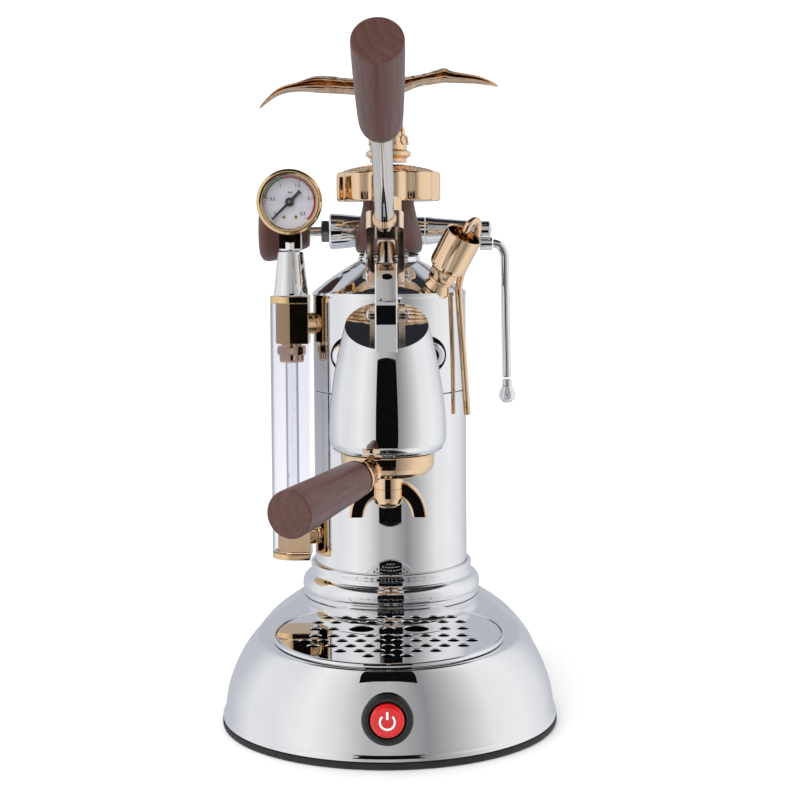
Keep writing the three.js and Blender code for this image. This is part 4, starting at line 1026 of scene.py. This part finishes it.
def make_lever():
    make_fork()
    bar = [(0, FORK_SLOT_END + 5), (3, FORK_SLOT_END + 5), (3, FORK_LENGTH + 0.3), (ROD_R, FORK_LENGTH + 0.3),
           (ROD_R, HANDLE_START + 13), (ROD_R - 0.8, HANDLE_START + 14), (0, HANDLE_START + 14)]
    make("lever_rod_bar", placed(spin(bar, COARSE), ON_LEVER), NICKEL, "lever", "lever_rod")
    flank = smooth([(6.9, HANDLE_START), (8.4, HANDLE_START + 1.2), (10.1, HANDLE_START + 4.5),
                    (11, HANDLE_START + 10), (11.5, HANDLE_START + 22), (12.1, HANDLE_START + 46),
                    (12.4, LEVER_LENGTH - 12), (12.4, LEVER_LENGTH - 2.2)], 7)
    tip = rounded([(12.4, LEVER_LENGTH - 2.2), (12.35, LEVER_LENGTH, 1.6), (0, LEVER_LENGTH)])[1:]
    bore = [(0, HANDLE_START + 15), (ROD_R + 0.4, HANDLE_START + 15), (ROD_R + 0.4, HANDLE_START)]
    along = (PISTON_PIN - FULCRUM).normalized()
    grain = timber("wood_on_lever", FULCRUM + along * HANDLE_START, along)
    make("lever_handle_grip", placed(spin(bore + flank + tip), ON_LEVER), grain, "lever", "lever_handle")
    make_pin("fulcrum_pin", 0)
    make_pin("piston_pin", -SPAN)
    body = bevel(cut(nut("lever_nut_hex", 13, 0, 10.6), rod(2.6, 8, 12, 32)), 0.35, 2, 30)
    dress(moved(body, LEVER @ at(2.8, -FORK_SLOT_END - 4, FORK_H + 0.3)), GOLD, "lever", "lever_nut")


def make_pin(name, along):
    """A pin across the fork, with a domed head on one side and a snap ring on the other."""
    head = FORK_HALF + 0.3
    pin = rounded([(0, -head - 2.1), (2.6, -head - 1.9, 0.8), (4.3, -head - 1, 0.6), (4.3, -head, 0.2),
                   (2.5, -head), (2.5, head + 0.2), (2.15, head + 0.3), (2.15, head + 0.9), (2.5, head + 1.0),
                   (2.5, head + 1.9, 0.4), (0, head + 1.9)])
    across = LEVER @ at(0, along, 0) @ ALONG_X
    make(name + "_round", placed(spin(pin, 40), across), CHROME, "lever", name, slot="steel")
    clip = arc(4.6, -62, 242, 36) + [(-1.6, -3.1)] + arc(2.3, 228, -48, 24) + [(1.6, -3.1)]
    ring = solid(name + "_clip_ring", placed(prism(clip, head + 0.15, head + 1.0), across @ turned(90, "Z")))
    dress(bevel(ring, 0.22, 2, 40), CHROME, "lever", name + "_clip", slot="steel")


# ---- Portafilter ----------------------------------------------------------------------------

GRIP = corners("portafilter_handle")[2]
# The handle's bearing, to the right of straight ahead as seen from above.
HOLDER_TURN = math.atan2(GRIP.x - GROUP.x, GROUP.y - GRIP.y)
HOLDER = at(GROUP.x, GROUP.y, 0) @ Matrix.Rotation(HOLDER_TURN, 4, "Z")
ARM_Z = 156.5
SPOUT_X = 18.6


def make_spout():
    profile = rounded([(0, 129.1), (4.6, 129.8, 3), (7.8, 131.7, 3), (9.2, 135.6, 3), (9.2, 141),
                       (8.7, 141.3), (9.2, 141.6), (9.2, 148.3, 0.5), (8.7, 148.9), (0, 148.9)])
    hub = solid("portafilter_spout_hub", spin(profile, COARSE))
    for side in (-1, 1):
        path = smooth([(0, 0, 140.3), (side * 8, 0, 140.3), (side * 12, 0, 138.2), (side * 15.5, 0, 134.3),
                       (side * 17.6, 0, 129.5), (side * SPOUT_X, 0, 124.3)], 7)
        fuse(hub, horn(path, 4.5, (4.9, 4.4)))
    cut(hub, joined(*(shifted(rod(2.9, 120, 127, 32), side * SPOUT_X) for side in (-1, 1))))
    bevel(hub, 0.35, 2, 45)
    dress(moved(hub, at(GROUP.x, GROUP.y, 0)), GOLD, "portafilter", "portafilter_spout", sharp=40)


def horn(path, wide, deep):
    """A bar in the X-Z plane with a flat front and back and rounded edges, narrowing towards its end."""
    rings = []
    for i, here in enumerate(path):
        thick = deep[0] + (deep[1] - deep[0]) * i / (len(path) - 1)
        before, after = Vector(path[max(i - 1, 0)]), Vector(path[min(i + 1, len(path) - 1)])
        along = (after - before).normalized()
        if i == len(path) - 1:
            along = Vector((0, 0, -1))
        out = along.cross(Vector((0, 1, 0))).normalized()
        outline = rounded([(-thick, -wide, 1.7), (thick, -wide, 1.7), (thick, wide, 1.7),
                           (-thick, wide, 1.7)], 4)
        rings.append([Vector(here) + out * a + Vector((0, b, 0)) for a, b in outline])
    return skin(rings)


def make_portafilter():
    z = corners("portafilter_body")[0].z
    cup = [(4, 0.0), (20, 0.0, 3), (23.6, 1.0, 3), (26, 3.2, 2.4), (27.2, 6.0, 2), (27.5, 8.8, 1),
           (27.5, 12.4, 0.8), (26.9, 13.2, 0.4), (25.5, 13.4), (25.5, 18.9, 0.3), (23.7, 18.9, 0.3),
           (23.7, 2.8), (4, 2.8)]
    body = placed(spin(rounded(cup)), HOLDER @ at(0, 0, z))
    make("portafilter_body_ring", body, GOLD, "portafilter", "portafilter_body")
    basket = [(0, 0), (22.4, 0, 0.6), (23.1, 1.2, 0.8), (23.1, 16), (25.2, 16, 0.2), (25.2, 16.6, 0.2),
              (22.3, 16.6, 0.4), (22.3, 0.8), (0, 0.8)]
    upright("filter_basket_cup", "filter_basket", rounded(basket), STEEL, "basket")
    make_spout()
    drop = math.atan2(ARM_Z - GRIP.z, (GRIP.xy - GROUP.xy).length)
    arm = HOLDER @ at(0, 0, ARM_Z) @ Matrix.Rotation(drop + math.pi / 2, 4, "X")
    ferrule = smooth([(7.4, 27.0), (6.9, 29.2), (6.7, 31.4), (7.3, 34), (8.6, 37.6), (9.9, 41.6), (10.4, 44),
                      (10.4, 46.3)], 5)
    make("portafilter_ferrule_neck", placed(spin([(0, 27.0)] + ferrule + [(0, 46.3)], COARSE), arm), GOLD,
         "portafilter", "portafilter_ferrule")
    grip = smooth([(9.6, 46.8), (10.4, 48.4), (10.9, 55), (11.4, 75), (12.1, 100), (12.7, 120),
                   (12.8, 128.2)], 6)
    tip = rounded([(12.8, 128.2), (12.75, 130.5, 1.7), (0, 130.5)])[1:]
    axis = (arm.to_3x3() @ Vector((0, 0, 1))).normalized()
    grain = timber("wood_on_portafilter", GRIP, axis)
    make("portafilter_handle_grip", placed(spin([(0, 46.8)] + grip + tip), arm), grain, "portafilter",
         "portafilter_handle")


# ---- Sight glass and gauge ------------------------------------------------------------------

COLUMN = corners("gauge_cone")[2]
GAUGE = pivot("gauge_needle_turn")
FACE_Y = corners("gauge_dial")[0].y  # the dial's front
SIGHT_BACK = 11.6  # how far the blocks run towards the boiler from the tube
BLOCK_R, FLANGE_R = 10.2, 13.7


def tongue(radius, low, high, back=SIGHT_BACK):
    """A block about the tube: half round on the outside, straight sides running towards the boiler."""
    return shifted(prism([(back, -radius), (back, radius)] + arc(radius, 90, 270, 48), low, high), COLUMN.x,
                   COLUMN.y)


def make_sight_blocks():
    to_boiler = math.atan2(-COLUMN.y, -COLUMN.x)
    reach = math.hypot(COLUMN.x, COLUMN.y)
    boiler = spin(BOILER_SHAPE)
    across = at(COLUMN.x, COLUMN.y, 0) @ Matrix.Rotation(to_boiler, 4, "Z")
    top, low = corners("sight_block_top"), corners("sight_block_bottom")
    for node, body, flange, arm_z, arm_r in (
            ("sight_block_top", (top[0].z, top[1].z - 4), (top[1].z - 4.3, top[1].z), 232.6, 7),
            ("sight_block_bottom", (low[0].z, low[1].z), (low[0].z, low[0].z + 3.9), 94, 6)):
        holder = fuse(solid(node + "_body", tongue(BLOCK_R, *body)), tongue(FLANGE_R, *flange))
        bevel(holder, 0.9, 4, 40)
        arm = placed(rod(arm_r, 0, reach - 47), across @ at(0, 0, arm_z) @ ALONG_X)
        dress(cut(fuse(holder, arm), boiler), YELLOW, "machine", node)


def make_sight_glass():
    make_sight_blocks()
    low, high, centre = corners("sight_nut")
    tall = high.z - low.z
    body = nut("sight_nut_hex", 17.6, 4.8, 10.4, 1.2)
    collar = rounded([(0, 0), (7.6, 0, 0.5), (7.9, 1.2, 0.4), (7.9, 5.2), (6.5, 6), (6.5, tall, 0.3),
                      (0, tall)])
    fuse(body, spin(collar, COARSE))
    bevel(cut(body, rod(4.4, -1, 11)), 0.3, 2, 30)
    moved(body, at(centre.x, centre.y, low.z))
    dress(body, polished("brass_on_sight_nut", (0.83, 0.6, 0.42), 0.14), "machine", "sight_nut")

    low, high, centre = corners("sight_tube")
    tall = high.z - low.z
    tube = rounded([(3, 0, 0.2), (4.1, 0, 0.3), (4.1, tall, 0.3), (3, tall, 0.2)])
    upright("sight_tube_glass", "sight_tube", tube, CLEAR, "machine", COARSE).visible_shadow = False
    # Droplets inside the glass, drawn as opaque white beads: the droplets are real, their white is a painted
    # glint of clear water.
    beads = []
    for _ in range(26):
        a, z = CHANCE.uniform(0, math.tau), CHANCE.uniform(centre.z - 50, high.z - 14)
        size = CHANCE.uniform(0.12, 0.32)
        beads.append(ellipsoid((centre.x + 2.75 * math.cos(a), centre.y + 2.75 * math.sin(a), z),
                               (size, size, size * CHANCE.uniform(1, 3.5)), 0, 10))
    make("sight_tube_droplets", joined(*beads), SYMBOL, "machine", slot="clear", weighted=False)

    low, high, _ = corners("sight_shield")
    wall = solid("sight_shield_wall", tongue(FLANGE_R, low.z, high.z))
    cut(wall, tongue(FLANGE_R - 1.4, low.z - 1, high.z + 1, SIGHT_BACK + 5))
    bevel(wall, 0.3, 2, 50)
    dress(wall, SHIELD, "machine", "sight_shield").visible_shadow = False


def make_gauge_stem():
    cone = rounded([(11.2, 0, 0.4), (11.2, 1.6, 0.8), (10.9, 3, 0.6), (8.4, 26.6, 1.2), (7.9, 28.7, 0.4)])
    upright("gauge_cone_body", "gauge_cone", [(0, 0)] + cone + [(0, 28.7)], CHROME, "machine")
    low, high, centre = corners("gauge_nut")
    body = bevel(nut("gauge_nut_hex", 14.2, 0, high.z - low.z, 0.9), 0.3, 2, 30)
    dress(moved(body, at(centre.x, centre.y, low.z)), CHROME, "machine", "gauge_nut")


def make_gauge():
    make_gauge_stem()
    low, high, _ = corners("gauge_case")
    depth = high.y - low.y
    case = rounded([(17.3, 7.4), (17.3, 1.1, 0.4), (17.9, 0.3, 0.5), (19.6, 0, 1.6), (21.1, 1.8, 1.2),
                    (21.1, 5.2, 0.8), (20.2, 6.2, 0.6), (19.1, 6.6, 0.3), (19, depth - 2.2, 2),
                    (17.4, depth, 1)])
    shell = placed(spin([(0, 7.4)] + case + [(0, depth)]), at(COLUMN.x, low.y, GAUGE.z) @ ALONG_Y)
    boss = shifted(block((-6.9, -6.6, 0), (6.9, 6.6, 12)), COLUMN.x, COLUMN.y, low.z - 4.5)
    dress(fuse(solid("gauge_case_body", shell), boss), YELLOW, "machine", "gauge_case")
    pane = rounded([(0, 0), (17.2, 0, 0.2), (17.2, 1.1, 0.2), (0, 1.1)])
    pane = forward("gauge_glass_pane", "gauge_glass", pane, CLEAR, "machine", FINE)
    pane.visible_shadow = False
    disc = rounded([(0, 0), (17.1, 0, 0.2), (17.1, 0.7), (0, 0.7)])
    forward("gauge_dial_face", "gauge_dial", disc, DIAL, "machine", FINE)
    make_dial_marks()
    make_needle()


def on_dial(shape, proud):
    """A shape drawn in X-Y and seen from +Z, stood up on the dial."""
    return placed(shape, at(COLUMN.x, FACE_Y - proud, GAUGE.z) @ STOOD_UP)


def band(inner, outer, start, end, thick=0.06):
    """Part of a ring between two bearings, in degrees clockwise from straight up."""
    steps = max(6, round(abs(end - start) / 2))
    outline = arc(outer, 90 - start, 90 - end, steps) + arc(inner, 90 - end, 90 - start, steps)
    return prism(outline, 0, thick)


def lettering(text, size, x, y):
    """Text as thin solid letters centred on a point of the dial."""
    curve = bpy.data.curves.new("letters", "FONT")
    curve.body, curve.size, curve.extrude = text, size, 0.03
    curve.align_x, curve.align_y = "CENTER", "CENTER"
    curve.resolution_u = 3
    curve.offset = 0.045
    holder = bpy.data.objects.new("letters", curve)
    bpy.context.scene.collection.objects.link(holder)
    mesh = bpy.data.meshes.new_from_object(holder.evaluated_get(bpy.context.evaluated_depsgraph_get()))
    verts = [Vector((v.co.x + x, v.co.y + y, v.co.z + 0.03)) for v in mesh.vertices]
    faces = [tuple(p.vertices) for p in mesh.polygons]
    bpy.data.objects.remove(holder)
    return verts, faces


def make_dial_marks():
    sweep_half = 135
    step = 2 * sweep_half / 5
    low_end = step - sweep_half  # where the dial reads 0.5
    safe_end = -17
    for name, look, start, end in (("gauge_arc_green", PRINT_GREEN, low_end, safe_end),
                                   ("gauge_arc_red", PRINT_RED, safe_end, sweep_half)):
        make(name, on_dial(band(15.5, 16.6, start, end), 0.02), look, "machine")
    ticks = []
    for numbers, inner, outer, half, thick in (
            (range(0, 60, 10), 13.9, 16.0, 0.55, 0.06), ((1, 2, 3, 4, 6, 7, 8, 9), 14.9, 16.5, 0.3, 0.06),
            ((5,), 14.4, 16.5, 0.3, 0.06), ((i for i in range(10, 50) if i % 10), 15.2, 16.5, 0.22, 0.09)):
        for i in numbers:
            bearing = step * i / 10 - sweep_half
            ticks.append(band(inner, outer, bearing - half, bearing + half, thick))
    make("gauge_ticks", on_dial(joined(*ticks), 0.03), INK, "machine", weighted=False)
    words = [("0", 3.0, -9.2, -7.6), ("0.5", 3.0, -10.9, 1.9), ("1", 3.0, -5.9, 10.6),
             ("1.5", 3.0, 5.2, 10.6), ("2", 3.0, 12.2, 2.2), ("2.5", 3.0, 8.4, -7.6), ("bar", 2.3, 0.4, 6.2)]
    letters = joined(*[lettering(*word) for word in words])
    make("gauge_numbers", on_dial(letters, 0.02), INK, "machine", weighted=False)
    screws = []
    for x in (-3.9, 3.8):
        head = spin(rounded([(0, 0), (1.2, 0), (1.2, 0.35, 0.2), (0.5, 0.55, 0.3), (0, 0.55)]), 32)
        screws.append(shifted(head, x, -9.6))
    make("gauge_screws", on_dial(joined(*screws), 0.0), YELLOW, "machine")


def make_needle():
    """Pointer, counterweight and hub, lying on the bearing at which the pressure is nought."""
    blade = prism([(-0.85, 0), (0.85, 0), (0.55, 14.2), (0.45, 14.9), (1.0, 15), (1.0, 15.35), (0.45, 15.5),
                   (0, 16.3), (-0.45, 15.5), (-1.0, 15.35), (-1.0, 15), (-0.45, 14.9), (-0.55, 14.2)], 1.3,
                   1.75)
    weight = prism([(-0.9, 0), (-1.05, -8.4), (-1.4, -8.6), (-1.4, -9.8), (1.4, -9.8), (1.4, -8.6),
                    (1.05, -8.4), (0.9, 0)], 1.3, 1.75)
    hub = spin(rounded([(0, 0.4), (2.2, 0.4), (2.9, 1.0, 0.3), (2.9, 2.2, 0.5), (1.1, 2.6, 0.4), (0, 2.6)]),
               COARSE)
    turn = turned(135, "Z")
    needle = solid("gauge_needle_blade", placed(blade, turn))
    fuse(needle, placed(weight, turn), hub)
    dress(moved(needle, at(COLUMN.x, FACE_Y, GAUGE.z) @ STOOD_UP), INK, "needle", "gauge_needle")
    boss = spin(rounded([(0, 2.5), (0.75, 2.5), (0.75, 2.85, 0.2), (0, 2.95)]), 32)
    make("gauge_needle_boss", on_dial(boss, 0.0), YELLOW, "needle")


# ---- Steam valve ----------------------------------------------------------------------------

VALVE = corners("steam_valve_body")[2]
VALVE_Z = pivot("steam_knob_turn").z


def on_valve(start):
    """Turns Z into the way along the steam valve from a place on X, or from a node's left end."""
    x = corners(start)[0].x if isinstance(start, str) else start
    return at(x, VALVE.y, VALVE_Z) @ ALONG_X


def make_steam_valve():
    flank = smooth([(17.6, 0.9), (19.2, 2.2), (20, 5.2), (19.6, 9), (18.4, 14), (16.6, 19), (14.4, 24),
                    (12.4, 28.4), (11, 31.6)], 6)
    knob = rounded([(0, 0), (16.2, 0, 1.6), flank[0]])[:-1] + flank + [(9.8, 33.2), (0, 33.2)]
    place = on_valve("steam_knob")
    grain = timber("wood_on_steam_knob", place.translation, (1, 0, 0))
    make("steam_knob_grip", placed(spin(knob), place), grain, "steam_tap", "steam_knob")
    stem = rounded([(0, 0), (3.2, 0, 0.2), (3.2, 11.5, 0.3), (0, 11.5)])
    make("steam_stem_bar", placed(spin(stem, COARSE), on_valve("steam_stem")), CHROME, "steam_tap",
         "steam_stem")

    low, high, _ = corners("steam_packing_nut")
    body = cut(nut("steam_packing_nut_hex", 14.4, 0, high.x - low.x, 0.9), rod(3.6, -2, 3.8))
    moved(bevel(body, 0.3, 2, 30), on_valve(low.x))
    dress(body, DARK_STEEL, "machine", "steam_packing_nut")

    shape = rounded([(0, 0), (11.2, 0, 0.8), (12.2, 1.3, 0.8), (11.7, 8.7, 6), (10.6, 18.7, 6),
                     (9.9, 32.7, 6), (8.8, 57.7, 1), (9.6, 59.6, 0.6), (9.6, 64.4, 0.4), (9.2, 64.7),
                     (0, 64.7)])
    valve = solid("steam_valve_barrel", placed(spin(shape), on_valve("steam_valve_body")))
    fuse(valve, shifted(rod(7.4, 254, 286), 0, VALVE.y))
    cut(valve, spin(BOILER_SHAPE))
    bevel(valve, 0.25, 2, 50)
    dress(valve, CHROME, "machine", "steam_valve_body", sharp=40)

    spigot = rounded([(0, 0), (9.5, 0, 0.4), (9.5, 1.6, 0.5), (8.7, 7, 2), (6.4, 33, 2), (6, 39, 1), (6, 42),
                      (0, 42)])
    outlet = solid("steam_outlet_body", placed(spin(spigot, COARSE), on_valve("steam_outlet")))
    end = rounded([(0, 0), (6.2, 0, 0.6), (6.4, 2, 0.6), (6.4, 8.2, 1.8), (0, 9.4)])
    wand = pivot("steam_wand_swing")
    socket = placed(rod(4.4, 0, 8), at(61.5, wand.y, wand.z) @ ALONG_X)
    fuse(outlet, placed(spin(end, COARSE), on_valve(60)), socket)
    bevel(outlet, 0.6, 3, 50)
    dress(outlet, CHROME, "machine", "steam_outlet", sharp=40)
    make_wand(wand)


def make_wand(start):
    low = corners("steam_wand")[0]
    reach = 78.2
    path = smooth([(start.x, start.z), (start.x + 1.6, start.z - 0.1), (start.x + 4, start.z - 1.1),
                   (start.x + 6.2, start.z - 3.6), (reach - 0.3, start.z - 7.4), (reach, start.z - 13),
                   (reach + 0.3, start.z - 40), (reach + 0.6, 222), (reach + 1.1, 192)], 7)
    pipe = sweep([(x, start.y, z) for x, z in path], 2.9, 36)
    ball = low.z + 5.6
    tip = rounded([(0, low.z), (2.2, low.z + 0.3, 1), (5.1, low.z + 2.7, 2.6), (5.6, ball + 0.2, 2.4),
                   (4.6, low.z + 8.8, 1.6), (3.5, low.z + 11, 1.4), (3.2, low.z + 14, 0.6),
                   (3.2, low.z + 16, 0.4), (2.4, low.z + 16.2), (0, low.z + 16.2)])
    wand = solid("steam_wand_pipe", pipe)
    fuse(wand, shifted(spin(tip, 56), reach + 1.2, start.y))
    holes = []
    for bearing in (45, 135, 225, 315):
        aim = at(reach + 1.2, start.y, ball) @ turned(bearing, "Z") @ turned(140, "Y")
        holes.append(placed(rod(0.5, 4.2, 8, 14), aim))
    cut(wand, joined(*holes))
    dress(wand, CHROME, "wand", "steam_wand", sharp=40)


# ---- Relief valve ---------------------------------------------------------------------------

RELIEF = at(32.3, -33, 259.6) @ turned(-40, "Z") @ turned(34, "Y")


def make_relief_valve():
    neck = rounded([(0, -15), (9.2, -15), (9.2, -4.4, 0.8), (7.2, -0.6, 1.5), (6.6, 0.4, 0.6),
                    (8.2, 1.2, 0.7), (8.2, 2.6, 0.7), (6.6, 3.2, 0.4), (0, 3.4)])
    body = solid("relief_body_neck", placed(spin(neck, COARSE), RELIEF))
    cut(body, spin(BOILER_SHAPE))
    dress(body, GOLD, "machine", "relief_body")
    dress(moved(bevel(nut("relief_body_hex", 15.4, 3, 9.8, 0.9), 0.3, 2, 30), RELIEF), GOLD, "machine")
    cup = rounded([(0, 10.1), (9.2, 10.1, 0.6), (11.4, 11.4, 1.2), (12, 14, 1), (12, 36.5, 0.3),
                   (11.2, 36.5, 0.3), (10.6, 35.8, 0.4), (10.6, 14.8, 1), (9, 12.8, 0.6), (0, 12.8)])
    make("relief_cup_body", placed(spin(cup), RELIEF), GOLD, "machine", "relief_cup")
    stem = rounded([(0, 12.9), (7.2, 12.9), (7.2, 24, 1), (4.2, 27, 1), (4.2, 30, 0.6), (0, 30)])
    make("relief_cup_stem", placed(spin(stem, COARSE), RELIEF), BRASS, "machine", slot="rose_gold")
    route = smooth([(41.1, -40.3, 276.6), (44.5, -43.2, 283.2), (47.9, -46.1, 290), (51, -47.2, 296),
                    (55, -43.5, 298.4), (57, -37, 295.5), (56, -31.5, 288), (51.5, -27.6, 277.5),
                    (47.8, -27.3, 268), (45.2, -28.6, 258), (44.9, -29.2, 248), (47.4, -26.8, 212),
                    (49.9, -25.2, 174)], 9)
    make("relief_pipe_bent", sweep(route, 2.3, 30, bore=1.7), GOLD, "machine", "relief_pipe")


# ---- Inside, and CAD nodes that stay --------------------------------------------------------


def paint_kept_nodes():
    """Nodes inside the body keep their CAD shape and get a worked material."""
    for node, look in (("heating_element", STEEL), ("pressurestat", BLACK), ("dip_tube", BRASS),
                       ("base_plate", STEEL)):
        obj = frame["nodes"][node]
        obj.data.materials.clear()
        obj.data.materials.append(look)


# ---- Studio ---------------------------------------------------------------------------------


def make_camera():
    data = bpy.data.cameras.new("camera")
    data.lens, data.sensor_width, data.shift_y = 69.06, 36, -0.12
    camera = bpy.data.objects.new("camera", data)
    camera.location = (0.01426, -1.00757, 0.2935)
    camera.rotation_euler = (math.radians(90 - 2.807), math.radians(0.4), math.radians(0.391))
    bpy.context.scene.collection.objects.link(camera)
    bpy.context.scene.camera = camera


def stage_card(name, places, colour):
    """A four-cornered part of the studio."""
    mesh = bpy.data.meshes.new(name)
    mesh.from_pydata(places, [], [(0, 1, 2, 3)])
    obj = bpy.data.objects.new(name, mesh)
    material = bpy.data.materials.new(name)
    material.use_nodes = True
    shader = material.node_tree.nodes["Principled BSDF"]
    preset(shader, Base_Color=(*colour, 1), Roughness=0.9, Specular_IOR_Level=0.1)
    mesh.materials.append(material)
    bpy.context.scene.collection.objects.link(obj)
    return obj


def make_floor():
    size = 6
    floor = stage_card("floor", [(-size, -size, 0), (size, -size, 0), (size, size, 0), (-size, size, 0)],
                       (0.93, 0.93, 0.93))
    floor.visible_glossy = False


def make_flag():
    """A black card that only reflections see: it draws the dark band down the polished metal."""
    half, y, low, high = 0.125, -0.44, 0.03, 0.325
    flag = stage_card("flag", [(-half, y, low), (half, y, low), (half, y, high), (-half, y, high)],
                      (0.004, 0.004, 0.005))
    flag.visible_camera = flag.visible_diffuse = flag.visible_shadow = False


AROUND = (  # what reflections see round the horizon, from behind through the left, the front and the right
    (0.0, (0.5, 0.52, 0.57)), (0.12, (0.6, 0.62, 0.67)), (0.2, (0.86, 0.87, 0.89)),
    (0.27, (0.84, 0.84, 0.86)), (0.35, (0.97, 0.965, 0.96)), (0.41, (0.8, 0.79, 0.78)),
    (0.46, (0.5, 0.5, 0.5)), (0.5, (0.5, 0.5, 0.5)), (0.57, (0.3, 0.3, 0.31)), (0.62, (0.5, 0.5, 0.5)),
    (0.7, (0.88, 0.88, 0.88)), (0.78, (0.95, 0.95, 0.95)), (0.86, (0.82, 0.83, 0.85)),
    (0.93, (0.58, 0.6, 0.66)), (1.0, (0.5, 0.52, 0.57)),
)
OVERHEAD = ((0.0, (1, 1, 1)), (0.72, (1, 1, 1)), (0.8, (0.05, 0.05, 0.055)), (1.0, (0.03, 0.03, 0.035)))


def make_world():
    """A white studio; reflections see greys round the horizon and a dark ceiling."""
    world = bpy.data.worlds.new("studio")
    bpy.context.scene.world = world
    world.use_nodes = True
    tree = world.node_tree
    coordinates, split, back, turn, share, rays = (tree.nodes.new("ShaderNode" + kind) for kind in (
        "TexCoord", "SeparateXYZ", "Math", "Math", "MapRange", "LightPath"))
    back.operation, turn.operation = "MULTIPLY", "ARCTAN2"
    back.inputs[1].default_value = -1
    preset(share, From_Min=-math.pi, From_Max=math.pi)
    around, overhead = (fill_ramp(tree.nodes.new("ShaderNodeValToRGB"), stops)
                        for stops in (AROUND, OVERHEAD))
    shaded, choose = (tree.nodes.new("ShaderNodeMix") for _ in range(2))
    shaded.data_type = choose.data_type = "RGBA"
    shaded.blend_type = "MULTIPLY"
    preset(shaded, Factor=1)
    choose.inputs[6].default_value = (1.15, 1.15, 1.15, 1)
    for source, output, target, socket in (
            (coordinates, "Generated", split, 0), (split, "Y", back, 0), (split, "X", turn, 0),
            (back, 0, turn, 1), (turn, 0, share, "Value"), (share, "Result", around, "Fac"),
            (split, "Z", overhead, "Fac"), (around, "Color", shaded, 6), (overhead, "Color", shaded, 7),
            (shaded, 2, choose, 7), (rays, "Glossy Depth", choose, "Factor"),
            (choose, 2, tree.nodes["Background"], "Color")):
        tree.links.new(source.outputs[output], target.inputs[socket])


def make_light():
    place, target = Vector((-0.5, -0.6, 1.5)), Vector((0, -0.05, 0.2))
    data = bpy.data.lights.new("top", "AREA")
    data.shape, data.size, data.size_y, data.energy = "RECTANGLE", 1.2, 1.2, 9
    lamp = bpy.data.objects.new("top", data)
    lamp.location = place
    lamp.rotation_euler = (target - place).to_track_quat("-Z", "Y").to_euler()
    lamp.visible_glossy = False
    bpy.context.scene.collection.objects.link(lamp)


def make_studio():
    make_camera()
    make_floor()
    make_flag()
    make_world()
    make_light()
    settings = bpy.context.scene.view_settings
    settings.view_transform = "Standard"
    settings.look = "None"


make_studio()
make_base()
make_tray()
make_boiler()
make_cap()
make_group()
make_piston()
make_lever()
make_portafilter()
make_sight_glass()
make_gauge()
make_steam_valve()
make_relief_valve()
paint_kept_nodes()
